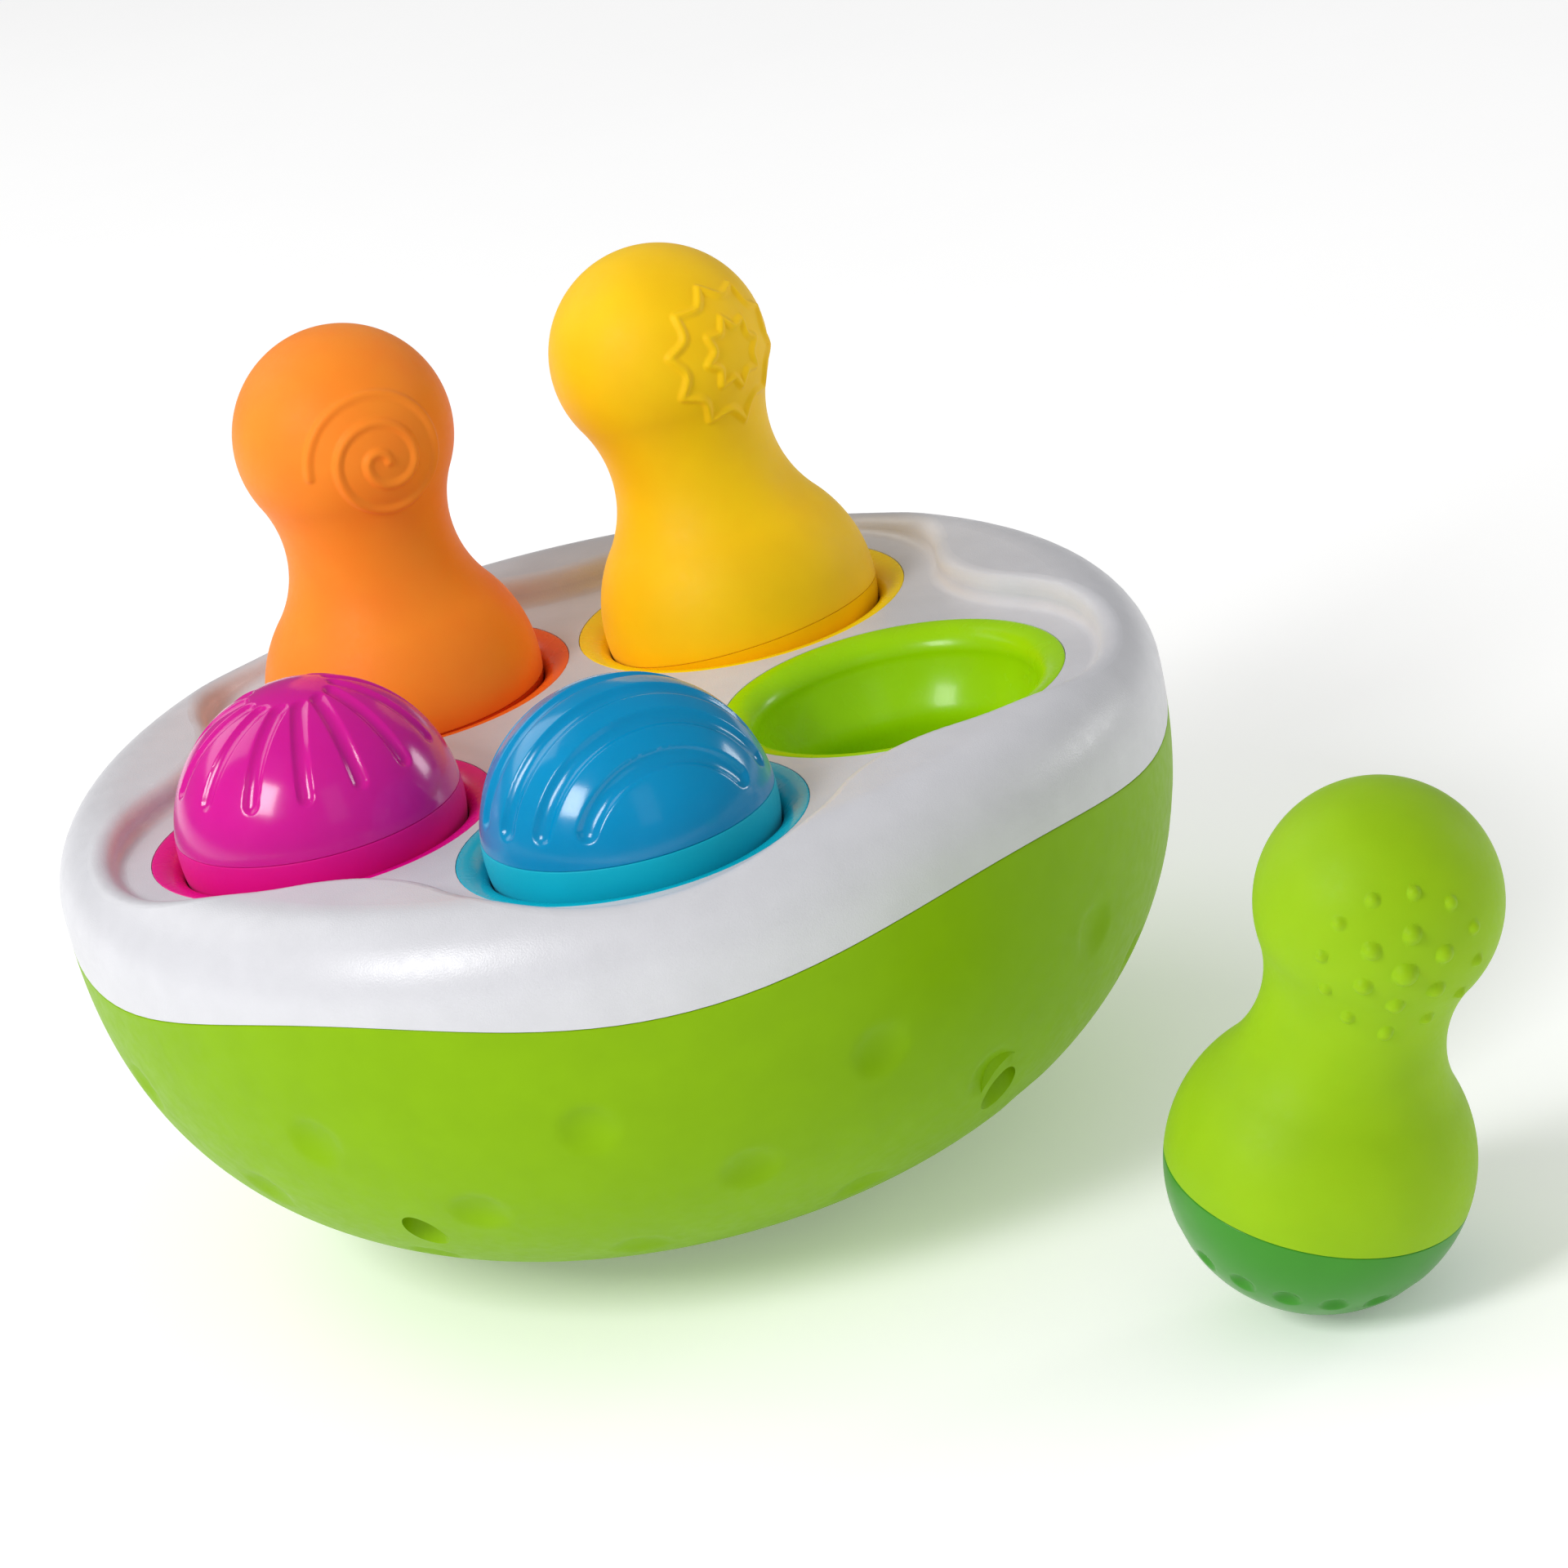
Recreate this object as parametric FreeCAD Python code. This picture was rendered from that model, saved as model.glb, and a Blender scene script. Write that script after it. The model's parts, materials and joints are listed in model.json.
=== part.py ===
import FreeCAD, Part
import math
import os

# Roly-poly stacking toy: a rocking tray with five cups, and five weighted pins.
# Millimetres, +Z up. The origin is the middle of the small flat that the tray stands on.

Vector = FreeCAD.Vector
UP = Vector(0, 0, 1)
ORIGIN = Vector(0, 0, 0)

# Pins, all alike: belly and head are spheres, the neck is an arc that touches both
belly_radius = 29.0
head_radius = 22.75
head_height = 55.5
neck_arc_radius = 25.2
base_seam_depth = 2.8
seam_gap = 0.1

# Layers of a pin: the soft skin and the hard core inside it
skin_wall = 2.2
core_wall = 1.3
layer_gap = 0.05
core_ledge_depth = 5.8
core_seat_gap = 0.2
core_inner_radius = belly_radius - skin_wall - layer_gap - core_wall

# Base of a pin, with the spigot that centres the core
base_wall = 2.2
spigot_gap = 0.38
spigot_wall = 1.4
spigot_height = 2.4
spigot_foot_depth = 8.2
spigot_radius = math.sqrt(core_inner_radius ** 2 - core_ledge_depth ** 2) - spigot_gap

# Cover of the weight, and its screws in bosses of the base
cover_thickness = 1.5
cover_gap = 0.8
cover_edge_width = 1.6
cover_radius = spigot_radius - spigot_wall - cover_gap
base_screw_count = 3
base_screw_pitch = cover_radius - cover_edge_width
base_boss_radius = 1.9
base_boss_bottom_depth = 22.0
base_pilot_radius = 0.8
base_shank_radius = 0.75
base_shank_hole_radius = 1.0
base_head_radius = 1.8
base_head_height = 1.3
base_screw_length = 7.0

# Weight, and the round chamber of the rattle beads above it
weight_gap = 0.3
weight_top_depth = 8.0
weight_boss_gap = 0.5
weight_radius = base_screw_pitch - base_boss_radius - weight_boss_gap
chamber_radius = 13.5
chamber_wall = 1.5
chamber_clearance = 0.4
lid_gap = 0.8
lid_radius = base_screw_pitch - base_head_radius - lid_gap
bead_radius = 2.0
bead_ring_count = 6
bead_gap = 0.05
bead_ring_extra_angle = 0.5

# Cups: a lip in the deck, a round seat for a belly, and a well for a head that is put in first
cup_count = 5
pin_gap = 0.3
seated_belly_height = 1.5
cup_lip_step = 0.9
cup_lip_width = 4.5
cup_lip_drop = 2.3
cup_lip_round = 0.6
cup_wall = 1.8
cup_sleeve_wall = 1.5
cup_sleeve_depth = 10.0
cup_flange_width = 1.0
cup_flange_thickness = 2.0
cup_spacing = 0.545
cup_hole_gap = 0.1
collar_wall = 1.2
well_side_gap = 0.85
well_bottom_gap = 0.85
well_entry_fillet = 9.0
cup_lip_inner_radius = belly_radius + pin_gap + cup_lip_step
cup_lip_radius = cup_lip_inner_radius + cup_lip_width
cup_flange_radius = cup_lip_radius + cup_flange_width
cup_pitch_radius = (cup_flange_radius + cup_spacing / 2) / math.sin(math.pi / cup_count)
well_radius = head_radius + well_side_gap
well_depth = head_height + head_radius + well_bottom_gap - seated_belly_height
well_center_depth = well_depth - well_radius

# Recess of the deck: five lobes about the cups joined by soft waists
recess_margin = 7.3
recess_waist_radius = 36.8
recess_depth = 6.0
recess_top_fillet = 3.3
recess_top_most_share = 0.56
recess_floor_fillet = 2.3
recess_floor_most_share = 0.39
recess_lobe_radius = cup_lip_radius + recess_margin

# Width of the round tray, and its heights up from the lowest point of the cups
rim_width = 9.87
cup_bottom_height = 15.8
widest_drop = 9.7
tray_radius = cup_pitch_radius + recess_lobe_radius + rim_width
deck_floor_height = cup_bottom_height + cup_wall + well_depth
widest_height = deck_floor_height - widest_drop
rim_height = deck_floor_height + recess_depth
rim_rounding = rim_height - widest_height

# Side of the tray below its widest height: two powers shape it down to the flat it stands on
side_power = 2.71
depth_power = 2.333
rest_flat_radius = 12.0
side_point_count = 24

# Seam between bowl and deck: a wave around the tray, low at the cups and high between them
seam_drop = 14.8
seam_wave = 3.1
rim_gap = 0.15
seam_surface_point_count = 41
seam_height = deck_floor_height - seam_drop
seam_surface_reach = tray_radius + rim_width

# Bowl, with shallow dimples in three rings around it, at depths below the widest height
shell_wall = 2.5
dimple_radius = 5.5
dimple_depth = 1.2
dimples_per_ring = 12
dimple_ring_drops = (28.8, 47.1, 65.6)
dimple_first_angle = 336.4

# White deck, with a tongue inside the bowl's rim
deck_wall = 2.5
tongue_height = 4.0
tongue_wall = 1.2
tongue_ledge = 2.5

# Screws of the tray
pilot_radius = 1.3
screw_shank_radius = 1.25
screw_head_radius = 3.2
screw_head_height = 2.4
shank_hole_radius = 1.8
retainer_screw_length = 10.0
deck_screw_length = 20.0
ballast_screw_length = 8.0

# Screw shafts of the bowl and the posts of the deck
shaft_inset = 16.4
shaft_radius = 4.0
shaft_wall = 2.0
shaft_drop = 28.4
shaft_seat_thickness = 5.6
post_radius = 3.6
shaft_pitch = tray_radius - shaft_inset
shaft_top_height = seam_height - shaft_drop
shaft_seat_height = shaft_top_height - shaft_seat_thickness

# Retainer plate under the cup flanges
retainer_thickness = 2.0
retainer_hole_inset = 5.7
retainer_land_width = 0.7
retainer_middle_radius = 45.0
retainer_ear_radius = 7.0
retainer_boss_radius = 3.6
retainer_boss_inset = 18.6
retainer_hole_radius = cup_flange_radius - retainer_hole_inset
retainer_land_radius = cup_flange_radius + retainer_land_width
retainer_boss_pitch = shaft_pitch - retainer_boss_inset

# Ballast disc on a rib and three bosses of the bowl's floor
ballast_radius = 33.0
ballast_thickness = 8.0
ballast_edge_gap = 0.27
ballast_screw_count = 3
ballast_screw_pitch = 20.0
ballast_boss_radius = 4.5
ballast_boss_gap = 0.3
ballast_washer_radius = 6.8
ballast_washer_height = 1.6
ballast_rib_inner_radius = 26.0
ballast_rib_outer_radius = 28.0

# Places and leans of the pins
yellow_lean = 7.0
yellow_lean_direction = 154.0
free_pin_x = 144.8
free_pin_y = -97.5
free_pin_lean = 21.7
free_pin_lean_direction = -11.2

# Raised spiral on the orange head
spiral_polar = 93.6
spiral_azimuth = -57.6
spiral_half_turns = 5
spiral_outer_angle = 36.7
spiral_step_angle = 7.7
spiral_bead_radius = 1.05
bead_height = 0.75

# Raised sun outlines on the yellow head
sun_polar = 92.6
sun_azimuth = -32.4
sun_points = (10, 8)
sun_tip_angles = (38.0, 18.5)
sun_valley_angles = (30.7, 13.3)
sun_first_tips = (21.0, 2.0)
sun_bead_radius = 0.95
sun_joint_extra = 0.05

# Raised dots on the green head, and dimples around its foot
dots_polar = 94.3
dots_azimuth = -71.9
dot_ring_angles = (20.0, 39.0)
dot_ring_counts = (6, 12)
dot_radii = (2.3, 1.7, 1.2)
dot_ring_turns = (5.0, 20.0)
dot_sink_share = 0.25
foot_dimple_polar = 124.8
foot_dimple_count = 17
foot_dimple_radius = 2.6
foot_dimple_depth = 0.9
foot_dimple_first_angle = -134.0

# Grooves in the magenta base, from near its pole down its side, and their lean
swirl_groove_count = 14
swirl_start_polar = 19.0
swirl_end_polar = 60.0
swirl_offset_angle = 6.0
swirl_first_angle = -107.4
swirl_section_radius = 1.9
swirl_depth = 0.8

# Grooves across the blue base, parallel arcs
wave_groove_count = 6
wave_axis_azimuth = -55.0
wave_first_angle = 41.0
wave_step_angle = 18.0
wave_end_polar = 70.0
wave_section_radius = 2.8
wave_depth = 1.0

# Angle from cup to cup, how far cutters reach past a face, how far joined pieces overlap,
# what counts as the same place, a small step along a surface, how finely an angle is
# searched for, and a reach beyond everything
step_angle = 360.0 / cup_count
past = 1.0
overlap = 0.5
near = 0.02
small_step = 0.05
fine_angle = 1e-6
beyond = 400.0


def turn(shape, degrees, axis=UP, center=ORIGIN):
    """A copy turned about an axis."""
    moved = shape.copy()
    moved.rotate(center, axis, degrees)
    return moved


def shift(shape, x, y, z):
    """A copy moved by x, y and z."""
    moved = shape.copy()
    moved.translate(Vector(x, y, z))
    return moved


def around(radius, degrees, z=0.0):
    """A point at a radius and an angle about the Z axis."""
    angle = math.radians(degrees)
    return Vector(radius * math.cos(angle), radius * math.sin(angle), z)


def on_sphere(radius, polar, azimuth):
    """A point of a sphere about the origin, with polar measured from +Z."""
    tilt = math.radians(polar)
    return around(radius * math.sin(tilt), azimuth, radius * math.cos(tilt))


def cylinder(radius, bottom, top, x=0.0, y=0.0):
    return Part.makeCylinder(radius, top - bottom, Vector(x, y, bottom))


def ring(outer_radius, inner_radius, bottom, top, x=0.0, y=0.0):
    outer = cylinder(outer_radius, bottom, top, x, y)
    return outer.cut(cylinder(inner_radius, bottom, top, x, y))


def revolve(edges):
    """A solid turned from a closed outline in the XZ plane."""
    face = Part.Face(Part.Wire(edges))
    return Part.Solid(face.revolve(ORIGIN, UP, 360).Shells[0])


def line(x1, z1, x2, z2):
    return Part.LineSegment(Vector(x1, 0, z1), Vector(x2, 0, z2)).toShape()


def arc(start, middle, end):
    points = [Vector(x, 0, z) for x, z in (start, middle, end)]
    return Part.Arc(points[0], points[1], points[2]).toShape()


def arc_about(center_x, center_z, radius, start_degrees, end_degrees):
    """An arc in the XZ plane, with angles from +X towards +Z."""
    def point(degrees):
        angle = math.radians(degrees)
        return (center_x + radius * math.cos(angle), center_z + radius * math.sin(angle))
    return arc(point(start_degrees), point((start_degrees + end_degrees) / 2), point(end_degrees))


def fuse_all(shapes):
    return shapes[0].multiFuse(shapes[1:]) if len(shapes) > 1 else shapes[0]


def clean(shape):
    """The single solid of a result, without seams between like faces."""
    joined = shape.removeSplitter()
    return joined.Solids[0] if len(joined.Solids) == 1 else joined


# Tray

def side_place(angle, inset):
    """A point of the tray's side, as radius and height, drawn in by an inset.

    The angle goes from 0 in the middle of the foot to 90 at the widest height.
    """
    share = math.sin(math.radians(angle)) ** (2 / side_power)
    down = math.cos(math.radians(angle)) ** (2 / depth_power)
    outward = side_power / tray_radius * share ** (side_power - 1)
    downward = depth_power / widest_height * down ** (depth_power - 1)
    steepness = math.hypot(outward, downward)
    radius = tray_radius * share - inset * outward / steepness
    height = widest_height * (1 - down) + inset * downward / steepness
    return radius, height


def side_angle(coordinate, value, inset):
    """The angle at which the side has a radius (coordinate 0) or a height (coordinate 1)."""
    low = 0.0
    high = 90.0
    while high - low > fine_angle:
        middle = (low + high) / 2
        if side_place(middle, inset)[coordinate] < value:
            low = middle
        else:
            high = middle
    return low


def tray_form(inset):
    """The whole tray's outside as a full solid, drawn in by an inset."""
    first = side_angle(0, rest_flat_radius, 0)
    points = [Vector(rest_flat_radius, 0, inset)]
    for index in range(1, side_point_count):
        radius, height = side_place(first + (90 - first) * index / (side_point_count - 1), inset)
        points.append(Vector(radius, 0, height))
    side = Part.BSplineCurve()
    side.interpolate(Points=points, InitialTangent=Vector(1, 0, 0), FinalTangent=UP)
    rounding = rim_rounding - inset
    rim_center = tray_radius - rim_rounding
    top = rim_height - inset
    form = revolve([
        line(0, inset, rest_flat_radius, inset),
        side.toShape(),
        arc_about(rim_center, widest_height, rounding, 0, 90),
        line(rim_center, top, 0, top),
        line(0, top, 0, inset),
    ])
    return turn(form, step_angle / 4)


def seam_side(direction, height):
    """Everything above (+1) or below (-1) the waved seam, raised by a height."""
    rows = []
    for i in range(seam_surface_point_count):
        x = seam_surface_reach * (2 * i / (seam_surface_point_count - 1) - 1)
        row = []
        for j in range(seam_surface_point_count):
            y = seam_surface_reach * (2 * j / (seam_surface_point_count - 1) - 1)
            wave = (complex(x, y) / tray_radius) ** cup_count
            row.append(Vector(x, y, seam_height + height - seam_wave * wave.real))
        rows.append(row)
    surface = Part.BSplineSurface()
    surface.interpolate(rows)
    return surface.toShape().extrude(Vector(0, 0, direction * beyond))


def wall_band(outer_inset, inner_inset, bottom, top):
    """A band of the tray's wall between two insets and two heights."""
    wall = tray_form(outer_inset).cut(tray_form(inner_inset))
    return wall.common(cylinder(beyond, bottom, top))


def bowl_point(degrees, z):
    """A point of the bowl's outside at an angle and a height."""
    return around(side_place(side_angle(1, z, 0), 0)[0], degrees, z)


def bowl_normal(degrees, z):
    """The outward direction of the bowl's outside at an angle and a height."""
    sideways = around(1, degrees + 90)
    upward = bowl_point(degrees, z + small_step) - bowl_point(degrees, z - small_step)
    return sideways.cross(upward).normalize()


def bowl_dimples():
    """One round cutter for each dimple."""
    ball_radius = (dimple_radius ** 2 + dimple_depth ** 2) / (2 * dimple_depth)
    spacing = 360.0 / dimples_per_ring
    cutters = []
    for row, drop in enumerate(dimple_ring_drops):
        height = widest_height - drop
        for index in range(dimples_per_ring):
            degrees = dimple_first_angle - spacing * (index + (row % 2) / 2)
            outward = bowl_normal(degrees, height)
            center = bowl_point(degrees, height) + outward * (ball_radius - dimple_depth)
            cutters.append(Part.makeSphere(ball_radius, center, outward))
    return cutters


def shaft_places():
    return [around(shaft_pitch, step_angle * (index + 1 / 2)) for index in range(cup_count)]


def ballast_places():
    spacing = 360.0 / ballast_screw_count
    return [around(ballast_screw_pitch, spacing * index) for index in range(ballast_screw_count)]


def ballast_height():
    """The height of the disc's underside, where its edge just clears the bowl's wall."""
    edge_angle = side_angle(0, ballast_radius, shell_wall)
    return side_place(edge_angle, shell_wall)[1] + ballast_edge_gap


def lower_shell():
    outer = tray_form(0)
    shell = outer.cut(tray_form(shell_wall)).cut(seam_side(1, -rim_gap / 2))
    additions = []
    for place in shaft_places():
        tube = cylinder(shaft_radius + shaft_wall, shell_wall, shaft_top_height, place.x, place.y)
        additions.append(tube.common(outer))
    boss_top = ballast_height() + ballast_thickness - ballast_boss_gap
    for place in ballast_places():
        boss = cylinder(ballast_boss_radius, shell_wall / 2, boss_top, place.x, place.y)
        additions.append(boss.common(outer))
    rib_bottom = shell_wall / 2
    rib = ring(ballast_rib_outer_radius, ballast_rib_inner_radius, rib_bottom, ballast_height())
    additions.append(rib.common(outer))
    shell = shell.multiFuse(additions)
    cutters = bowl_dimples()
    for place in shaft_places():
        cutters.append(cylinder(shaft_radius, -past, shaft_seat_height, place.x, place.y))
        cutters.append(cylinder(shank_hole_radius, 0, shaft_top_height + past, place.x, place.y))
    for place in ballast_places():
        cutters.append(cylinder(pilot_radius, ballast_height(), boss_top + past, place.x, place.y))
    return clean(shell.cut(cutters))


def recess_block(outset, bottom, top):
    """The recess outline, five lobes about the cups joined by soft waists, as a prism."""
    lobe = recess_lobe_radius + outset
    waist = recess_waist_radius - outset
    half_chord = cup_pitch_radius * math.sin(math.radians(step_angle / 2))
    chord_distance = cup_pitch_radius * math.cos(math.radians(step_angle / 2))
    waist_distance = chord_distance + math.sqrt((lobe + waist) ** 2 - half_chord ** 2)
    edges = []
    for index in range(cup_count):
        angle = step_angle * index
        cup = around(cup_pitch_radius, angle, bottom)
        next_cup = around(cup_pitch_radius, angle + step_angle, bottom)
        before = around(waist_distance, angle - step_angle / 2, bottom)
        after = around(waist_distance, angle + step_angle / 2, bottom)
        start = cup + (before - cup) * (lobe / (lobe + waist))
        middle = cup + around(lobe, angle)
        end = cup + (after - cup) * (lobe / (lobe + waist))
        next_start = next_cup + (after - next_cup) * (lobe / (lobe + waist))
        waist_middle = around(waist_distance - waist, angle + step_angle / 2, bottom)
        edges.append(Part.Arc(start, middle, end).toShape())
        edges.append(Part.Arc(end, waist_middle, next_start).toShape())
    return Part.Face(Part.Wire(edges)).extrude(Vector(0, 0, top - bottom))


def cup_places():
    return [around(cup_pitch_radius, step_angle * index) for index in range(cup_count)]


def retainer_boss_places():
    places = [Vector(0, 0, 0)]
    places += [around(retainer_boss_pitch, step_angle * (i + 1 / 2)) for i in range(cup_count)]
    return places


def top_deck():
    outer = tray_form(0)
    # a thicker band of the wall holds the tongue that stands inside the bowl's rim
    seam_low = seam_height - seam_wave
    ledge_top = seam_height + seam_wave + tongue_ledge
    tongue_inset = shell_wall + rim_gap
    ledge = wall_band(deck_wall / 2, tongue_inset + tongue_wall / 2, seam_low, ledge_top)
    tongue_bottom = seam_low - tongue_height
    tongue = wall_band(tongue_inset, tongue_inset + tongue_wall, tongue_bottom, ledge_top)
    shell = outer.cut(tray_form(deck_wall)).fuse(ledge)
    shell = shell.cut(seam_side(-1, rim_gap / 2))
    floor_bottom = deck_floor_height - deck_wall
    tub = recess_block(deck_wall, floor_bottom, rim_height + past).common(outer)
    recess = recess_block(0, deck_floor_height, rim_height + past)
    block = shell.fuse(tub).cut(recess)
    block = round_recess(block)
    flange_top = deck_floor_height - cup_sleeve_depth
    additions = [tongue]
    cutters = []
    hole_radius = cup_lip_radius + cup_hole_gap
    for place in cup_places():
        collar = cylinder(hole_radius + collar_wall, flange_top, floor_bottom + overlap, place.x, place.y)
        additions.append(collar)
        cutters.append(cylinder(hole_radius, flange_top - past, rim_height, place.x, place.y))
    boss_bottom = flange_top - cup_flange_thickness
    boss_top = floor_bottom + overlap
    for place in retainer_boss_places():
        additions.append(cylinder(retainer_boss_radius, boss_bottom, boss_top, place.x, place.y))
        cutters.append(cylinder(pilot_radius, boss_bottom - past, floor_bottom, place.x, place.y))
    reach = tray_form(deck_wall / 2)
    pilot_top = shaft_top_height + deck_screw_length
    for place in shaft_places():
        post = cylinder(post_radius, shaft_top_height, rim_height, place.x, place.y)
        additions.append(post.common(reach))
        cutters.append(cylinder(pilot_radius, shaft_top_height - past, pilot_top, place.x, place.y))
    return clean(block.multiFuse(additions).cut(cutters))


def round_recess(block):
    """Soft edges at the recess: its floor, then its rim."""
    def recess_edges(low, high):
        found = []
        for edge in block.Edges:
            middle = edge.valueAt((edge.FirstParameter + edge.LastParameter) / 2)
            if low < middle.z < high and is_on_recess(middle):
                found.append(edge)
        return found
    floor_edges = recess_edges(deck_floor_height - near, deck_floor_height + near)
    floor_fillet = min(recess_floor_fillet, recess_floor_most_share * recess_depth)
    block = block.makeFillet(floor_fillet, floor_edges)
    wall_middle = deck_floor_height + recess_depth / 2
    top_fillet = min(recess_top_fillet, recess_top_most_share * recess_depth)
    return block.makeFillet(top_fillet, recess_edges(wall_middle, rim_height + near))


def is_on_recess(point):
    """True for a point on the recess's upright wall."""
    half_chord = cup_pitch_radius * math.sin(math.radians(step_angle / 2))
    chord_distance = cup_pitch_radius * math.cos(math.radians(step_angle / 2))
    reach = recess_lobe_radius + recess_waist_radius
    waist_distance = chord_distance + math.sqrt(reach ** 2 - half_chord ** 2)
    flat = Vector(point.x, point.y, 0)
    for index in range(cup_count):
        cup = around(cup_pitch_radius, step_angle * index)
        waist = around(waist_distance, step_angle * (index + 1 / 2))
        if abs((flat - cup).Length - recess_lobe_radius) < near:
            return True
        if abs((flat - waist).Length - recess_waist_radius) < near:
            return True
    return False


def cup():
    """One cup about the origin, with the deck's floor at z = 0."""
    seat = belly_radius + pin_gap
    belly = seated_belly_height
    lip_z = -cup_lip_drop
    seat_top_r = math.sqrt(seat ** 2 - (belly - lip_z) ** 2)
    # the seat's arc ends where a soft arc leads it into the upright well
    turn_distance = well_radius + well_entry_fillet
    turn_z = belly - math.sqrt((seat + well_entry_fillet) ** 2 - turn_distance ** 2)
    touch_share = seat / (seat + well_entry_fillet)
    touch = (turn_distance * touch_share, belly + (turn_z - belly) * touch_share)
    start_angle = math.degrees(math.atan2(lip_z - belly, seat_top_r))
    touch_angle = math.degrees(math.atan2(touch[1] - belly, touch[0]))
    turn_start = math.degrees(math.atan2(touch[1] - turn_z, touch[0] - turn_distance))
    well_bottom = -well_center_depth - well_radius
    soft_lip_z = lip_z + cup_lip_round
    hollow_edges = [
        line(0, 0, cup_lip_radius, 0),
        line(cup_lip_radius, 0, cup_lip_inner_radius, soft_lip_z),
        line(cup_lip_inner_radius, soft_lip_z, seat_top_r, lip_z),
        arc_about(0, belly, seat, start_angle, touch_angle),
        arc_about(turn_distance, turn_z, well_entry_fillet, turn_start, 180),
        line(well_radius, turn_z, well_radius, -well_center_depth),
        arc_about(0, -well_center_depth, well_radius, 0, -90),
        line(0, well_bottom, 0, 0),
    ]
    hollow = revolve(hollow_edges)
    flange_top = -cup_sleeve_depth
    flange_bottom = flange_top - cup_flange_thickness
    well_outer = well_radius + cup_wall
    body = Part.makeSphere(seat + cup_wall, Vector(0, 0, belly))
    body = body.common(cylinder(beyond, -beyond, -past))
    body = body.fuse(cylinder(well_outer, -well_center_depth, -cup_lip_drop))
    body = body.fuse(Part.makeSphere(well_outer, Vector(0, 0, -well_center_depth)))
    skirt_inner = cup_lip_radius - cup_sleeve_wall
    sleeve = ring(cup_lip_radius, skirt_inner, flange_bottom, 0)
    roof = cylinder(cup_lip_radius, -cup_lip_drop - cup_wall, 0)
    flange = ring(cup_flange_radius, skirt_inner, flange_bottom, flange_top)
    # below the seat's soft entry the outside follows the well
    body = body.cut(ring(beyond, well_outer + cup_wall, -beyond, touch[1]))
    return clean(body.multiFuse([sleeve, roof, flange]).cut(hollow))


def cup_retainer():
    top = deck_floor_height - cup_sleeve_depth - cup_flange_thickness
    bottom = top - retainer_thickness
    plates = [cylinder(retainer_middle_radius, bottom, top)]
    cutters = []
    for place in cup_places():
        plates.append(cylinder(retainer_land_radius, bottom, top, place.x, place.y))
        cutters.append(cylinder(retainer_hole_radius, bottom, top, place.x, place.y))
    for place in retainer_boss_places():
        plates.append(cylinder(retainer_ear_radius, bottom, top, place.x, place.y))
        cutters.append(cylinder(shank_hole_radius, bottom, top, place.x, place.y))
    return clean(fuse_all(plates).cut(cutters))


def screw(place, seat_z, length, head_radius, head_height, shank_radius, direction):
    """A screw whose head sits on seat_z and whose shank goes up (+1) or down (-1)."""
    head = cylinder(head_radius, -head_height, 0).fuse(cylinder(shank_radius, -overlap, length))
    if direction < 0:
        head = turn(head, 180, Vector(1, 0, 0))
    return clean(shift(head, place.x, place.y, seat_z))


def retainer_screws():
    seat = deck_floor_height - cup_sleeve_depth - cup_flange_thickness - retainer_thickness
    return [screw(place, seat, retainer_screw_length, screw_head_radius, screw_head_height,
                  screw_shank_radius, 1) for place in retainer_boss_places()]


def deck_screws():
    return [screw(place, shaft_seat_height, deck_screw_length, screw_head_radius,
                  screw_head_height, screw_shank_radius, 1) for place in shaft_places()]


def ballast_weight():
    top = ballast_height() + ballast_thickness
    disc = cylinder(ballast_radius, ballast_height(), top)
    holes = []
    for place in ballast_places():
        hole_radius = ballast_boss_radius + ballast_boss_gap
        holes.append(cylinder(hole_radius, ballast_height(), top, place.x, place.y))
    return clean(disc.cut(holes))


def ballast_screws():
    seat = ballast_height() + ballast_thickness
    return [screw(place, seat, ballast_screw_length, ballast_washer_radius,
                  ballast_washer_height, screw_shank_radius, -1) for place in ballast_places()]


# Pins, about the middle of the belly, head up

def neck_center():
    """The neck arc's centre in the XZ plane."""
    to_belly = belly_radius + neck_arc_radius
    to_head = head_radius + neck_arc_radius
    z = (head_height ** 2 + to_belly ** 2 - to_head ** 2) / (2 * head_height)
    return math.sqrt(to_belly ** 2 - z ** 2), z


def pin_form(inset, bottom):
    """The pin's outline turned to a full solid, drawn in by an inset and cut off at the bottom."""
    belly = belly_radius - inset
    head = head_radius - inset
    neck = neck_arc_radius + inset
    neck_x, neck_z = neck_center()
    low_touch = math.degrees(math.atan2(neck_z, neck_x))
    high_touch = math.degrees(math.atan2(neck_z - head_height, neck_x))
    bottom_angle = math.degrees(math.asin(bottom / belly))
    bottom_r = belly * math.cos(math.radians(bottom_angle))
    return revolve([
        line(0, bottom, bottom_r, bottom),
        arc_about(0, 0, belly, bottom_angle, low_touch),
        arc_about(neck_x, neck_z, neck, 180 + low_touch, 180 + high_touch),
        arc_about(0, head_height, head, high_touch, 90),
        line(0, head_height + head, 0, bottom),
    ])


def plain_skin():
    return pin_form(0, -base_seam_depth).cut(pin_form(skin_wall, -base_seam_depth - skin_wall))


def pin_core():
    inset = skin_wall + layer_gap
    bottom = -core_ledge_depth + seam_gap
    return pin_form(inset, bottom).cut(pin_form(inset + core_wall, bottom - past))


def base_screw_places():
    spacing = 360.0 / base_screw_count
    return [around(base_screw_pitch, spacing * index) for index in range(base_screw_count)]


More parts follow.
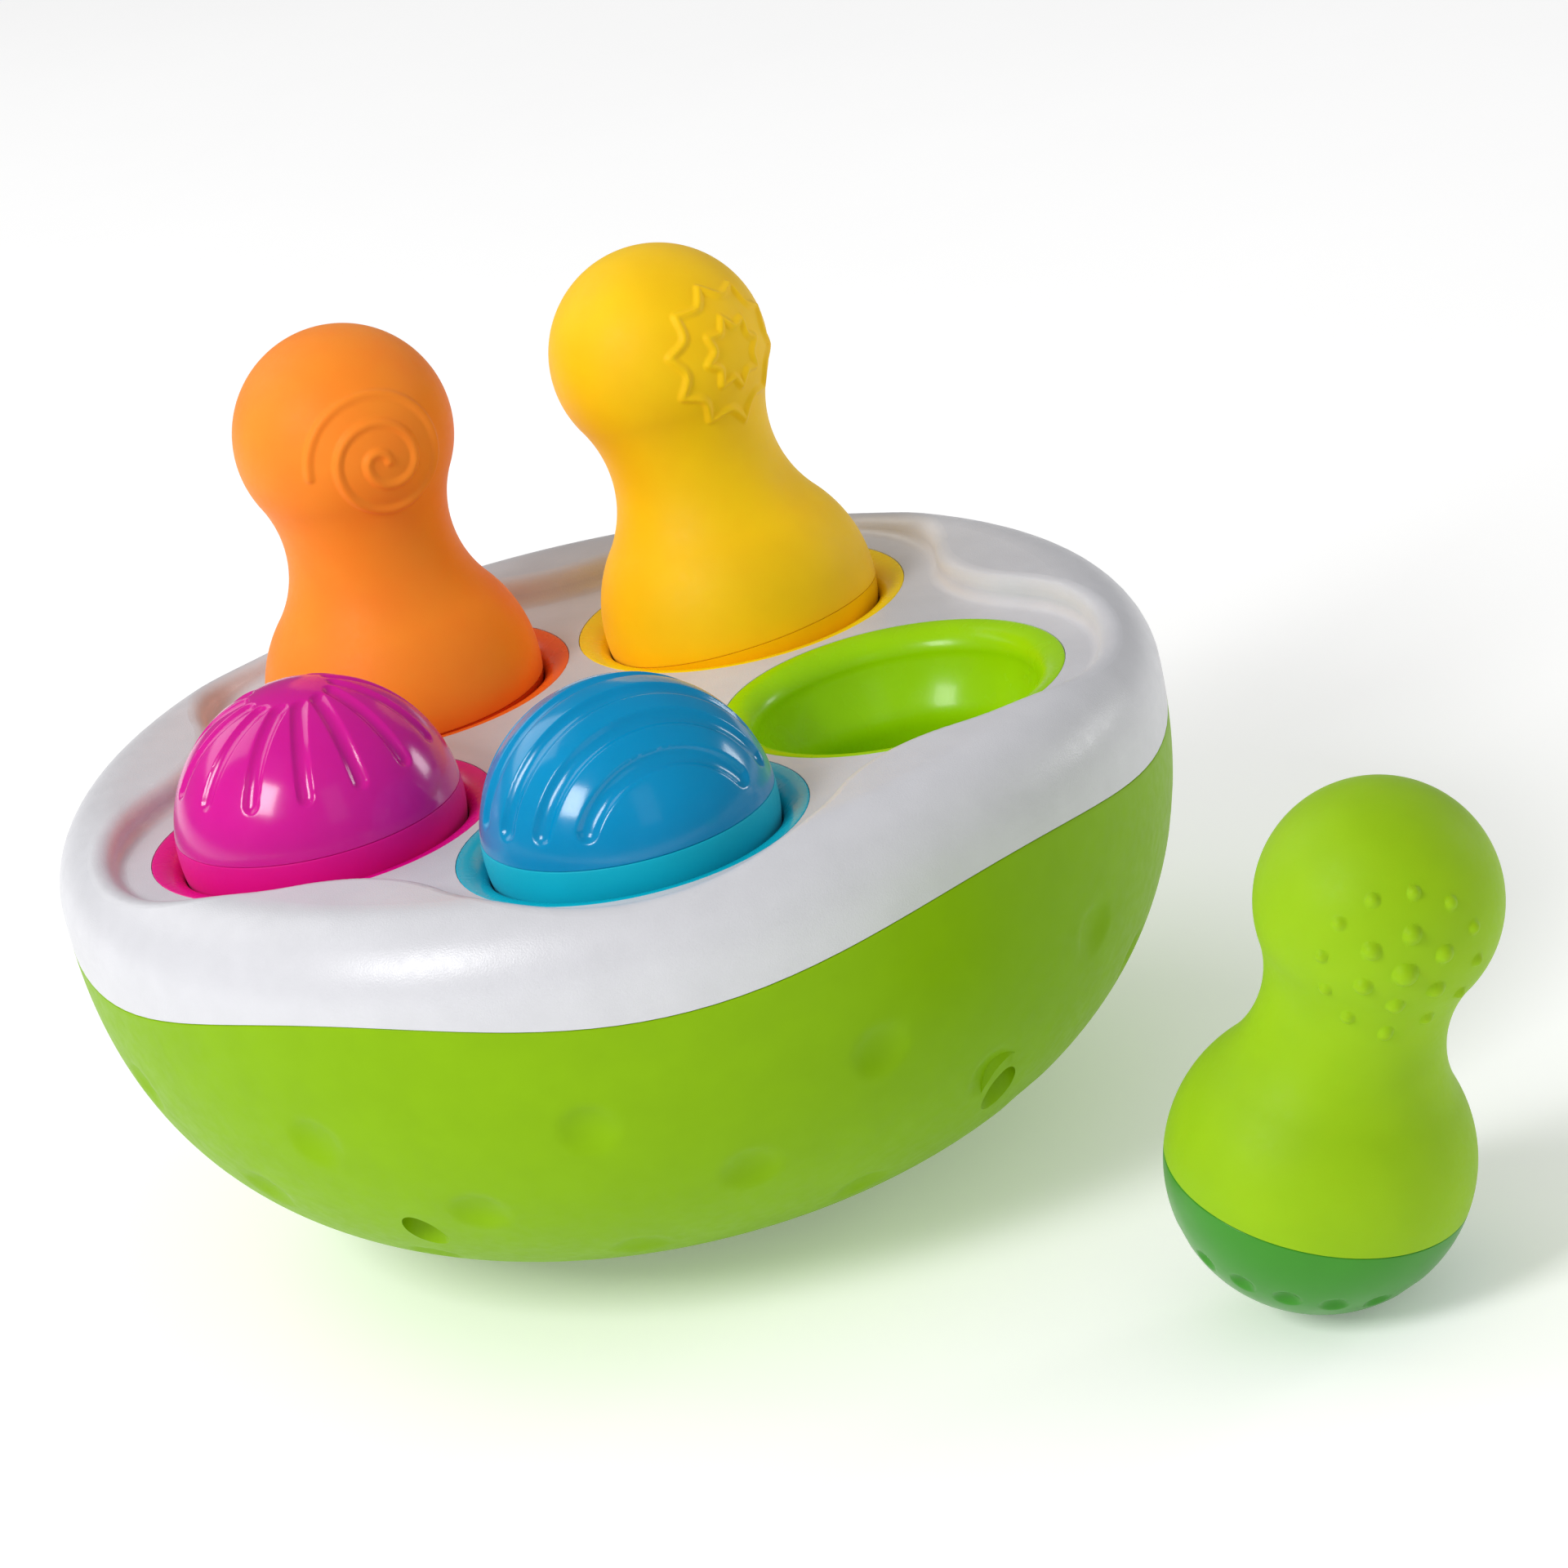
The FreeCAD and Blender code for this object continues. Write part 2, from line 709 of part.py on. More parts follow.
def plain_base():
    outer = belly_radius
    inner = belly_radius - base_wall
    top = -base_seam_depth - seam_gap
    top_angle = math.degrees(math.asin(top / outer))
    top_r = outer * math.cos(math.radians(top_angle))
    ledge = -core_ledge_depth
    core_r = belly_radius - skin_wall - layer_gap + core_seat_gap
    spigot_inner = spigot_radius - spigot_wall
    foot = -spigot_foot_depth
    taper = -spigot_foot_depth - base_wall
    taper_r = math.sqrt(inner ** 2 - taper ** 2)
    taper_angle = math.degrees(math.atan2(taper, taper_r))
    shell = revolve([
        arc_about(0, 0, outer, -90, top_angle),
        line(top_r, top, core_r, top),
        line(core_r, top, core_r, ledge),
        line(core_r, ledge, spigot_radius, ledge),
        line(spigot_radius, ledge, spigot_radius, spigot_height),
        line(spigot_radius, spigot_height, spigot_inner, spigot_height),
        line(spigot_inner, spigot_height, spigot_inner, foot),
        line(spigot_inner, foot, taper_r, taper),
        arc_about(0, 0, inner, taper_angle, -90),
        line(0, -inner, 0, -outer),
    ])
    boss_top = -weight_top_depth + weight_gap
    bosses = []
    holes = []
    reach = Part.makeSphere(belly_radius - base_wall / 2)
    for place in base_screw_places():
        boss = cylinder(base_boss_radius, -base_boss_bottom_depth, boss_top, place.x, place.y)
        bosses.append(boss.common(reach))
        hole_bottom = boss_top - base_screw_length
        holes.append(cylinder(base_pilot_radius, hole_bottom, boss_top + past, place.x, place.y))
    return shell.multiFuse(bosses).cut(holes)


def pin_weight():
    ball = Part.makeSphere(belly_radius - base_wall - weight_gap)
    slug = ball.common(cylinder(weight_radius, -belly_radius, -weight_top_depth))
    return slug.cut(Part.makeSphere(chamber_radius + chamber_wall + chamber_clearance))


def cover_top():
    return -weight_top_depth + weight_gap + cover_thickness


def weight_cover():
    top = cover_top()
    disc = cylinder(cover_radius, top - cover_thickness, top)
    bowl_part = Part.makeSphere(chamber_radius + chamber_wall).common(cylinder(beyond, -beyond, top))
    holes = [Part.makeSphere(chamber_radius)]
    for place in base_screw_places():
        holes.append(cylinder(base_shank_hole_radius, -beyond, top + past, place.x, place.y))
    return disc.fuse(bowl_part).cut(holes)


def bead_lid():
    bottom = cover_top()
    dome = Part.makeSphere(chamber_radius + chamber_wall).common(cylinder(beyond, bottom, beyond))
    flange = cylinder(lid_radius, bottom, bottom + cover_thickness)
    return dome.fuse(flange).cut(Part.makeSphere(chamber_radius))


def base_screws():
    return [screw(place, cover_top(), base_screw_length, base_head_radius, base_head_height,
                  base_shank_radius, -1) for place in base_screw_places()]


def beads():
    """Beads at rest in the lowest part of the chamber."""
    reach = chamber_radius - bead_radius - bead_gap
    spread = math.degrees(2 * math.asin((bead_radius + bead_gap / 2) / reach))
    polar = 180 - spread - bead_ring_extra_angle
    balls = [Part.makeSphere(bead_radius, Vector(0, 0, -reach))]
    for index in range(bead_ring_count):
        azimuth = 360.0 * index / bead_ring_count
        balls.append(Part.makeSphere(bead_radius, on_sphere(reach, polar, azimuth)))
    return balls


# Raised and sunk patterns of the pins

def tangent_frame(polar, azimuth):
    """The outward direction at a place on a sphere, and two directions along the surface."""
    out = on_sphere(1, polar, azimuth)
    side = UP.cross(out).normalize()
    up = out.cross(side)
    return out, side, up


def near_direction(frame, angle, direction):
    """The outward direction at an angle from a place, in a direction along the surface."""
    out, side, up = frame
    turn_angle = math.radians(direction)
    away = math.radians(angle)
    along = side * math.cos(turn_angle) + up * math.sin(turn_angle)
    return out * math.cos(away) + along * math.sin(away)


def skin_distance(direction):
    """How far the skin is from the head's middle in a direction, on the head or on the neck."""
    neck_x, neck_z = neck_center()
    below = neck_z - head_height
    neck_distance = head_radius + neck_arc_radius
    if direction.z > below / neck_distance:
        return head_radius
    middle = math.hypot(direction.x, direction.y) * neck_x + direction.z * below
    return middle - math.sqrt(middle ** 2 - neck_distance ** 2 + neck_arc_radius ** 2)


def arc_tube(axis, start, degrees, section_radius):
    """A round bar along an arc about an axis through the sphere's middle."""
    tangent = axis.cross(start).normalize()
    section = Part.Face(Part.Wire(Part.makeCircle(section_radius, start, tangent)))
    return section.revolve(ORIGIN, axis, degrees)


def arc_bead(axis, start, degrees, section_radius):
    """A round bar with round ends."""
    turned = FreeCAD.Rotation(axis, degrees).multVec(start)
    return [
        arc_tube(axis, start, degrees, section_radius),
        Part.makeSphere(section_radius, start, start),
        Part.makeSphere(section_radius, turned, turned),
    ]


def spiral_beads():
    """Half turns about two nearby axes by turns, each smaller than the one before."""
    radius = head_radius + bead_height - spiral_bead_radius
    frame = tangent_frame(spiral_polar, spiral_azimuth)
    axes = [near_direction(frame, 0, 0), near_direction(frame, spiral_step_angle, 0)]
    pieces = []
    for index in range(spiral_half_turns):
        angle = spiral_outer_angle - spiral_step_angle * index
        if index % 2:
            start = near_direction(frame, angle + spiral_step_angle, 0)
        else:
            start = near_direction(frame, angle, 180)
        pieces += arc_bead(axes[index % 2], start * radius, -180, spiral_bead_radius)
    return pieces


def sun_beads():
    """Two closed zigzag outlines of short round bars."""
    frame = tangent_frame(sun_polar, sun_azimuth)
    pieces = []
    for outline, count in enumerate(sun_points):
        points = []
        for index in range(2 * count):
            angle = sun_valley_angles[outline] if index % 2 else sun_tip_angles[outline]
            away = near_direction(frame, angle, sun_first_tips[outline] + 180.0 * index / count)
            points.append(away * (skin_distance(away) + bead_height - sun_bead_radius))
        for index, start in enumerate(points):
            along = points[(index + 1) % len(points)] - start
            pieces.append(Part.makeCylinder(sun_bead_radius, along.Length, start, along))
            pieces.append(Part.makeSphere(sun_bead_radius + sun_joint_extra, start, start))
    return pieces


def dot_beads():
    frame = tangent_frame(dots_polar, dots_azimuth)
    places = [(0.0, 0.0, dot_radii[0])]
    for ring_index, count in enumerate(dot_ring_counts):
        for index in range(count):
            direction = 360.0 * index / count + dot_ring_turns[ring_index]
            places.append((dot_ring_angles[ring_index], direction, dot_radii[ring_index + 1]))
    dots = []
    for angle, direction, size in places:
        away = near_direction(frame, angle, direction)
        center = away * (skin_distance(away) - size * dot_sink_share)
        dots.append(Part.makeSphere(size, center, away))
    return dots


def patterned_skin(pieces, azimuth):
    """The skin with raised pieces on its head, its own seam turned away from them."""
    skin = turn(plain_skin(), azimuth + 180)
    inside = Part.makeSphere(head_radius - skin_wall / 2)
    raised = fuse_all(pieces).cut(inside)
    return skin.fuse(shift(raised, 0, 0, head_height))


def foot_dimples():
    ball_radius = (foot_dimple_radius ** 2 + foot_dimple_depth ** 2) / (2 * foot_dimple_depth)
    reach = belly_radius + ball_radius - foot_dimple_depth
    cutters = []
    for index in range(foot_dimple_count):
        azimuth = foot_dimple_first_angle + 360.0 * index / foot_dimple_count
        center = on_sphere(reach, foot_dimple_polar, azimuth)
        cutters.append(Part.makeSphere(ball_radius, center, center))
    return cutters


def swirl_grooves():
    """Grooves from near the pole down the side, each on a circle that passes beside the pole."""
    reach = belly_radius + swirl_section_radius - swirl_depth
    spacing = 360.0 / swirl_groove_count
    pieces = []
    for index in range(swirl_groove_count):
        azimuth = swirl_first_angle + spacing * index
        axis = around(1, azimuth + 90)
        # along the circle at an angle from this axis, from the polar angle of one end to the other
        off = math.radians(90 - swirl_offset_angle)

        def point(polar):
            height = math.cos(math.radians(polar))
            along = math.sqrt(max(0.0, math.sin(off) ** 2 - height ** 2))
            flat = around(along, azimuth) + around(math.cos(off), azimuth + 90)
            return (flat + Vector(0, 0, height)) * reach

        start = point(swirl_start_polar)
        end = point(swirl_end_polar)
        center = axis * (start.dot(axis))
        sweep = math.degrees((start - center).getAngle(end - center))
        pieces += arc_bead(axis, start, sweep, swirl_section_radius)
    # the base is upside down on its pin
    return [turn(piece, 180, Vector(1, 0, 0)) for piece in pieces]


def wave_grooves():
    """Parallel arcs over the pole, at steps from one level axis."""
    reach = belly_radius + wave_section_radius - wave_depth
    axis = around(1, wave_axis_azimuth)
    side = around(1, wave_axis_azimuth + 90)
    end_height = math.cos(math.radians(wave_end_polar))
    pieces = []
    for index in range(wave_groove_count):
        angle = math.radians(wave_first_angle + wave_step_angle * index)
        half = math.acos(end_height / math.sin(angle))
        start = axis * math.cos(angle)
        start += (UP * math.cos(half) - side * math.sin(half)) * math.sin(angle)
        pieces += arc_bead(axis, start * reach, -2 * math.degrees(half), wave_section_radius)
    return [turn(piece, 180, Vector(1, 0, 0)) for piece in pieces]


def pin_skin(color):
    patterns = {
        "orange": (spiral_beads, spiral_azimuth),
        "yellow": (sun_beads, sun_azimuth),
        "green": (dot_beads, dots_azimuth),
    }
    if color not in patterns:
        return plain_skin()
    pattern, azimuth = patterns[color]
    return patterned_skin(pattern(), azimuth)


def pin_base(color, base):
    cutters = {"green": foot_dimples, "magenta": swirl_grooves, "blue": wave_grooves}
    if color not in cutters:
        return base
    return clean(base.cut(cutters[color]()))


def common_parts():
    """The pieces that all pins share, about the belly's middle, head up."""
    return {
        "core": [pin_core()],
        "weight": [pin_weight()],
        "weight_cover": [clean(weight_cover())],
        "bead_lid": [clean(bead_lid())],
        "base_screws": base_screws(),
    }


def lean(shape, degrees, direction):
    """A copy leaned from upright towards a direction."""
    return turn(shape, degrees, around(1, direction + 90))


def pin_places():
    """Each pin's belly middle, whether it is upside down, its lean and the lean's direction."""
    cups = cup_places()
    seated = deck_floor_height + seated_belly_height
    up = Vector(0, 0, seated)
    return {
        "yellow": (cups[1] + up, False, yellow_lean, yellow_lean_direction),
        "orange": (cups[2] + up, False, 0.0, 0.0),
        "magenta": (cups[3] + up, True, 0.0, 0.0),
        "blue": (cups[4] + up, True, 0.0, 0.0),
        "green": (Vector(free_pin_x, free_pin_y, belly_radius), False,
                  free_pin_lean, free_pin_lean_direction),
    }


def write(name, solids):
    shape = solids[0] if len(solids) == 1 else Part.makeCompound(solids)
    shape.exportStep("parts/" + name + ".step")
    volume = sum(solid.Volume for solid in solids)
    print(name, len(solids), "solids, valid", shape.isValid(), "volume", round(volume))


def main():
    os.makedirs("parts", exist_ok=True)
    write("lower_shell", [lower_shell()])
    write("top_deck", [top_deck()])
    one_cup = cup()
    for color, place in zip(("green", "yellow", "orange", "magenta", "blue"), cup_places()):
        write(color + "_cup", [shift(one_cup, place.x, place.y, deck_floor_height)])
    write("cup_retainer", [cup_retainer()])
    write("retainer_screws", retainer_screws())
    write("deck_screws", deck_screws())
    write("ballast_weight", [ballast_weight()])
    write("ballast_screws", ballast_screws())
    shared = common_parts()
    base = clean(plain_base())
    for color, (place, upside_down, lean_angle, direction) in pin_places().items():
        pieces = {"skin": [pin_skin(color)], "base": [pin_base(color, base)], **shared}
        for name, solids in pieces.items():
            placed = []
            for solid in solids:
                moved = turn(solid, 180, Vector(1, 0, 0)) if upside_down else solid
                moved = lean(moved, lean_angle, direction)
                placed.append(shift(moved, place.x, place.y, place.z))
            write(color + "_" + name, placed)
        write(color + "_beads", [shift(bead, place.x, place.y, place.z) for bead in beads()])


main()
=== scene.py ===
import json
import math

import bpy
import numpy as np
from mathutils import Matrix, Vector


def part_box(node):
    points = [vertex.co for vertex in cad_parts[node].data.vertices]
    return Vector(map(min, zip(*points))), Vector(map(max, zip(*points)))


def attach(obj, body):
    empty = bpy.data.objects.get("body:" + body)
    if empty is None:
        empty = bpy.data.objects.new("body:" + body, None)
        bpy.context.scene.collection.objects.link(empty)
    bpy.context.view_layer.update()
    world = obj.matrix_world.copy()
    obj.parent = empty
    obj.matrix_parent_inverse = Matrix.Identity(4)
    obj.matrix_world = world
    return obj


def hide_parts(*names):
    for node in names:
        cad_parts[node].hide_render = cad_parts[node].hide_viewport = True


# Roly-poly stacking toy: the finish of every surface, and the forms that show a soft edge
# or a raised pattern. Sizes are millimetres until a mesh is made, and the scene is in metres.

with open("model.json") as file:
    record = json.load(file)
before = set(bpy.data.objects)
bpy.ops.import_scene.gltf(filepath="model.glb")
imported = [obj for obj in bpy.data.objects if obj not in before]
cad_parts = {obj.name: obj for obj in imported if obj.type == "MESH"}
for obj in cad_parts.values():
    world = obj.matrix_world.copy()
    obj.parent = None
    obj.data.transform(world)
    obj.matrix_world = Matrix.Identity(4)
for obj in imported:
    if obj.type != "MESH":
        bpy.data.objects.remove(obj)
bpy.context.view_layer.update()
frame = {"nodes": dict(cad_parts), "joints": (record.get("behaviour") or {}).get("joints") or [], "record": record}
nodes = frame["nodes"]
joints = {joint["name"]: joint for joint in frame["joints"]}
MM = 0.001

# Bowl: the side's two powers, and the waved seam under the deck
cup_count = 5
tray_radius = 113.07
widest_height = 85.5
side_power = 2.71
depth_power = 2.333
rest_flat_radius = 12.0
shell_wall = 2.5
seam_height = 80.4
seam_wave = 3.1
rim_gap = 0.15
seam_edge_reach = 0.3
seam_edge_angles = (0, 30, 60, 90)

# Dimples around the bowl
dimple_width = 6.1
dimple_depth = 1.5
dimples_per_ring = 12
dimple_ring_heights = (56.7, 38.4, 19.9)
dimple_first_angle = 336.4
dish_power = 1.05

# Screw shafts of the bowl
shaft_pitch = 96.67
shaft_radius = 4.0
shaft_wall = 2.0
shaft_seat_height = 46.4
shaft_top_height = 52.0
shank_hole_radius = 1.8

# Bosses and rib that hold the ballast
ballast_screw_count = 3
ballast_screw_pitch = 20.0
ballast_boss_radius = 4.5
ballast_boss_top = 11.8
ballast_pilot_radius = 1.3
ballast_seat_height = 4.1
ballast_rib_radius = 28.0
ballast_rib_inner_radius = 26.0

# Pins
belly_radius = 29.0
head_radius = 22.75
head_height = 55.5
neck_arc_radius = 25.2
skin_wall = 2.2
base_seam_depth = 2.8
seam_gap = 0.1
skin_foot_reach = 0.08
pin_edge_reach = 0.3
base_wall = 2.2
core_ledge_depth = 5.8
core_seat_radius = 26.95
spigot_radius = 24.4
spigot_wall = 1.4
spigot_height = 2.4
spigot_foot_depth = 8.2
base_screw_count = 3
base_screw_pitch = 20.6
base_boss_radius = 1.9
base_boss_top_depth = 7.7
base_boss_bottom_depth = 22.0
base_pilot_radius = 0.8
base_screw_length = 7.0

# Cups: a round lip, a seat for a belly, and a well for a head
seat_radius = 29.3
seated_belly_height = 1.5
lip_radius = 34.7
lip_depth = 5.0
lip_edge_reach = 0.3
cup_wall = 1.8
roof_depth = 4.1
sleeve_wall = 1.5
flange_radius = 35.7
flange_depth = 10.0
flange_thickness = 2.0
well_radius = 23.6
well_center_depth = 54.0
well_entry_radius = 9.0

# Raised spiral on the orange head
spiral_polar = 93.6
spiral_azimuth = -57.6
spiral_half_turns = 5
spiral_outer_angle = 36.7
spiral_step_angle = 7.7
spiral_half_width = 1.45
ridge_height = 0.75

# Raised sun outlines on the yellow head
sun_polar = 92.6
sun_azimuth = -32.4
sun_points = (10, 8)
sun_tip_angles = (38.0, 18.5)
sun_valley_angles = (30.7, 13.3)
sun_first_tips = (21.0, 2.0)
sun_half_width = 1.25
sun_margin_angle = 6.0

# Raised dots on the green head, and dimples around its foot
dots_polar = 94.3
dots_azimuth = -71.9
dot_ring_angles = (20.0, 39.0)
dot_ring_counts = (6, 12)
dot_ring_turns = (31.0, 32.0)
dot_widths = (2.3, 1.7, 1.25)
dot_height_share = 0.75
dot_foot_share = 1.1
dot_crown_power = 2.5
dot_foot_power = 1.2
foot_dimple_polar = 124.8
foot_dimple_count = 17
foot_dimple_width = 2.7
foot_dimple_depth = 1.2
foot_dimple_first_angle = -134.0

# Grooves in the magenta base, from near its pole down its side
swirl_groove_count = 14
swirl_start_polar = 19.0
swirl_end_polar = 60.0
swirl_offset_angle = 6.0
swirl_first_angle = -107.4
swirl_half_width = 1.75
swirl_depth = 0.8

# Grooves across the blue base, parallel arcs
wave_groove_count = 6
wave_axis_azimuth = -55.0
wave_first_angle = 41.0
wave_step_angle = 18.0
wave_end_polar = 70.0
wave_half_width = 2.2
wave_depth = 1.0

# Bottoms and edges of the grooves: the power of their round, and the ease of their edge
groove_round_power = 2.4
groove_edge_ease = 0.1

# Pins that stand on their heads in the cups
upside_down_pins = ("magenta", "blue")

# Fineness of the meshes: columns around, spacing along an outline, points of eased corners and
# of lips, samples of the bowl's side, and steps of a sun's outline between its tips
bowl_columns = 540
bowl_spacing = 1.2
inner_spacing = 4.8
fine_columns = 280
fine_spacing = 0.4
plain_columns = 180
plain_spacing = 1.0
groove_columns = 480
bar_columns = 64
ball_columns = 120
ledge_spacing = 2.0
spigot_spacing = 4.0
base_inner_spacing = 3.0
eased_point_count = 6
lip_point_count = 24
side_start_angle = 0.5
side_sample_count = 2400
sun_steps_per_point = 24

# How closely the columns of a skin crowd towards its relief, the radius under which a row is
# a pole, and the angle over which an edge shows sharp
crowding = 0.7
pole_radius = 0.000001
sharp_edge_angle = 32.0

# The part of a noise's range that a texture spreads over a range of its own
noise_low = 0.3
noise_high = 0.7

# Light from all round, as it falls and as gloss shows it, the floor's glow and half width, and
# the place that the lights look at, in metres
world_light = 0.5
world_reflection = 0.12
floor_glow = 0.2
floor_half_width = 6.0
light_target = (0.02, -0.02, 0.08)

# Camera: its place, its lens and sensor, the nearest and farthest distance that it shows, in
# metres, and the directions right, down and forward of its picture
camera_place = (321.8, -1090.0, 508.1)
camera_lens = 138.0
camera_sensor = 36.0
camera_nearest = 0.1
camera_farthest = 50.0
camera_right = (0.96344, 0.17267, -0.20487)
camera_down = (-0.12346, -0.39253, -0.91142)
camera_forward = (-0.23779, 0.90339, -0.35686)


# Outlines in the plane of radius and height

def arc_outline(center_r, center_z, radius, start, end, spacing):
    """Points of an arc, with angles in degrees from the outward direction towards up."""
    count = max(3, int(abs(math.radians(end - start)) * radius / spacing) + 2)
    angles = np.radians(np.linspace(start, end, count))
    return np.stack([center_r + radius * np.cos(angles), center_z + radius * np.sin(angles)], 1)


def line_outline(start, end, spacing):
    length = math.dist(start, end)
    count = max(2, int(length / spacing) + 2)
    return np.linspace(start, end, count)


def joined(pieces, reach):
    """One outline from pieces laid end to end, with its corners eased over a reach."""
    outline = pieces[0]
    for piece in pieces[1:]:
        corner = piece[0]
        before = outline[np.linalg.norm(outline - corner, axis=1) > reach]
        after = piece[np.linalg.norm(piece - corner, axis=1) > reach]
        leaving = corner + unit(before[-1] - corner) * reach
        coming = corner + unit(after[0] - corner) * reach
        share = np.linspace(0, 1, eased_point_count)[:, None]
        eased = leaving * (1 - share) ** 2 + corner * 2 * share * (1 - share) + coming * share ** 2
        outline = np.concatenate([before, eased, after])
    return outline


def unit(vectors):
    return vectors / np.linalg.norm(vectors, axis=-1, keepdims=True)


def outline_normals(outline):
    """The outward directions of an outline that goes up on its outside."""
    along = np.gradient(outline, axis=0)
    return unit(np.stack([along[:, 1], -along[:, 0]], 1))


def neck_center():
    to_belly = belly_radius + neck_arc_radius
    to_head = head_radius + neck_arc_radius
    z = (head_height ** 2 + to_belly ** 2 - to_head ** 2) / (2 * head_height)
    return math.sqrt(to_belly ** 2 - z ** 2), z


def pin_side(inset, bottom, spacing):
    """The pin's side from a height in the belly up to its top, drawn in by an inset."""
    neck_r, neck_z = neck_center()
    low_touch = math.degrees(math.atan2(neck_z, neck_r))
    high_touch = math.degrees(math.atan2(neck_z - head_height, neck_r))
    belly = belly_radius - inset
    head = head_radius - inset
    start = math.degrees(math.asin(bottom / belly))
    return np.concatenate([
        arc_outline(0, 0, belly, start, low_touch, spacing),
        arc_outline(neck_r, neck_z, neck_arc_radius + inset, 180 + low_touch, 180 + high_touch,
                    spacing)[1:],
        arc_outline(0, head_height, head, high_touch, 90, spacing)[1:],
    ])


# Meshes

def azimuths(count, focus=0.0, crowd=0.0):
    """Azimuths all the way round, closer together about one direction."""
    steps = np.linspace(-math.pi, math.pi, count, endpoint=False)
    return math.radians(focus) + steps - crowd * np.sin(steps)


def turned(outline, around, relief=None):
    """Rows of points of an outline turned about the upright axis, raised by a relief."""
    normals = outline_normals(outline)
    radial = np.stack([np.cos(around), np.sin(around), np.zeros_like(around)], 1)
    rows = []
    for (r, z), (normal_r, normal_z) in zip(outline, normals):
        if r < pole_radius:
            rows.append(np.array([[0.0, 0.0, z]]))
            continue
        row = radial * r + np.array([0, 0, z])
        if relief is not None:
            outward = radial * normal_r + np.array([0, 0, normal_z])
            row = row + outward * relief(row)[:, None]
        rows.append(row)
    return rows


def ring_faces(rows):
    """Faces between rows of points that run round, where a row of one point is a pole."""
    starts = np.cumsum([0] + [len(row) for row in rows])
    faces = []
    for index in range(len(rows) - 1):
        low, high = starts[index], starts[index + 1]
        low_count, high_count = len(rows[index]), len(rows[index + 1])
        step = np.arange(max(low_count, high_count))
        after = (step + 1) % len(step)
        if low_count == 1:
            corners = [np.full_like(step, low), high + after, high + step]
        elif high_count == 1:
            corners = [low + step, low + after, np.full_like(step, high)]
        else:
            corners = [low + step, low + after, high + after, high + step]
        faces += np.stack(corners, 1).tolist()
    return faces


def piece_from_rows(name, rows, place=Matrix.Identity(4)):
    """An object whose mesh spans rows of points, in millimetres, moved to its place."""
    mesh = bpy.data.meshes.new(name)
    mesh.from_pydata(np.concatenate(rows) * MM, [], ring_faces(rows))
    mesh.transform(place)
    piece = bpy.data.objects.new(name, mesh)
    bpy.context.scene.collection.objects.link(piece)
    return piece


def smooth(piece):
    """Smooth shading, apart from the sharper edges."""
    mesh = piece.data
    mesh.polygons.foreach_set("use_smooth", [True] * len(mesh.polygons))
    mesh.set_sharp_from_angle(angle=math.radians(sharp_edge_angle))
    mesh.update()


def bar(radius, bottom, top, x, y):
    """An upright round bar as a helper object."""
    around = azimuths(bar_columns)
    outline = np.array([(0, bottom), (radius, bottom), (radius, top), (0, top)], float)
    rows = [row + np.array([x, y, 0]) for row in turned(outline, around)]
    return piece_from_rows("helper", rows)


def combine(piece, helper, operation):
    """The mesh of a piece after a helper is joined to it, cut from it, or kept in common."""
    modifier = piece.modifiers.new("combine", "BOOLEAN")
    modifier.object = helper
    modifier.operation = operation
    modifier.solver = "MANIFOLD"
    bpy.context.view_layer.update()
    graph = bpy.context.evaluated_depsgraph_get()
    mesh = bpy.data.meshes.new_from_object(piece.evaluated_get(graph))
    piece.modifiers.clear()
    old = piece.data
    piece.data = mesh
    bpy.data.meshes.remove(old)
    remove(helper)
    return piece


def remove(helper):
    mesh = helper.data
    bpy.data.objects.remove(helper)
    bpy.data.meshes.remove(mesh)


def dress(piece, name, body, slot, replaced):
    """Gives a finished piece its name, body and material, smooths it, and hides the node that it stands for."""
    piece.name = name
    piece.data.name = name
    piece.data.materials.clear()
    piece.data.materials.append(materials[slot])
    smooth(piece)
    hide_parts(replaced)
    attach(piece, body)


# Bowl

def side_path(inset):
    """Radii and heights along the bowl's side from its foot up, drawn in by an inset."""
    angle = np.radians(np.linspace(side_start_angle, 90, side_sample_count))
    share = np.sin(angle) ** (2 / side_power)
    down = np.clip(np.cos(angle), 0, None) ** (2 / depth_power)
    outward = side_power / tray_radius * share ** (side_power - 1)
    downward = depth_power / widest_height * down ** (depth_power - 1)
    normal = unit(np.stack([outward, -downward], 1))
    path = np.stack([tray_radius * share, widest_height * (1 - down)], 1) - normal * inset
    on_side = path[:, 0] > rest_flat_radius
    return np.concatenate([[(rest_flat_radius, inset)], path[on_side]])


def bowl_rows(inset, around, spacing):
    """Rows from the foot up to the waved seam, evenly spaced along the side in each direction."""
    path = side_path(inset)
    lengths = np.concatenate([[0], np.cumsum(np.linalg.norm(np.diff(path, axis=0), axis=1))])
    wave = seam_wave * np.cos(cup_count * around)[:, None]
    level = seam_height - rim_gap / 2 - wave * (path[:, 0] / tray_radius) ** cup_count
    above = path[:, 1] - level
    last = np.array([np.interp(0, column, lengths) for column in above])
    rows = [np.array([[0.0, 0.0, inset]])]
    for share in np.linspace(0, 1, int(lengths[-1] / spacing)):
        radius = np.interp(share * last, lengths, path[:, 0])
        height = np.interp(share * last, lengths, path[:, 1])
        rows.append(np.stack([radius * np.cos(around), radius * np.sin(around), height], 1))
    return rows


def row_normals(grid):
    """Outward directions of a grid of rows that goes up on its outside."""
    sideways = np.roll(grid, -1, axis=1) - np.roll(grid, 1, axis=1)
    upward = np.gradient(grid, axis=0)
    return unit(np.cross(sideways, upward))


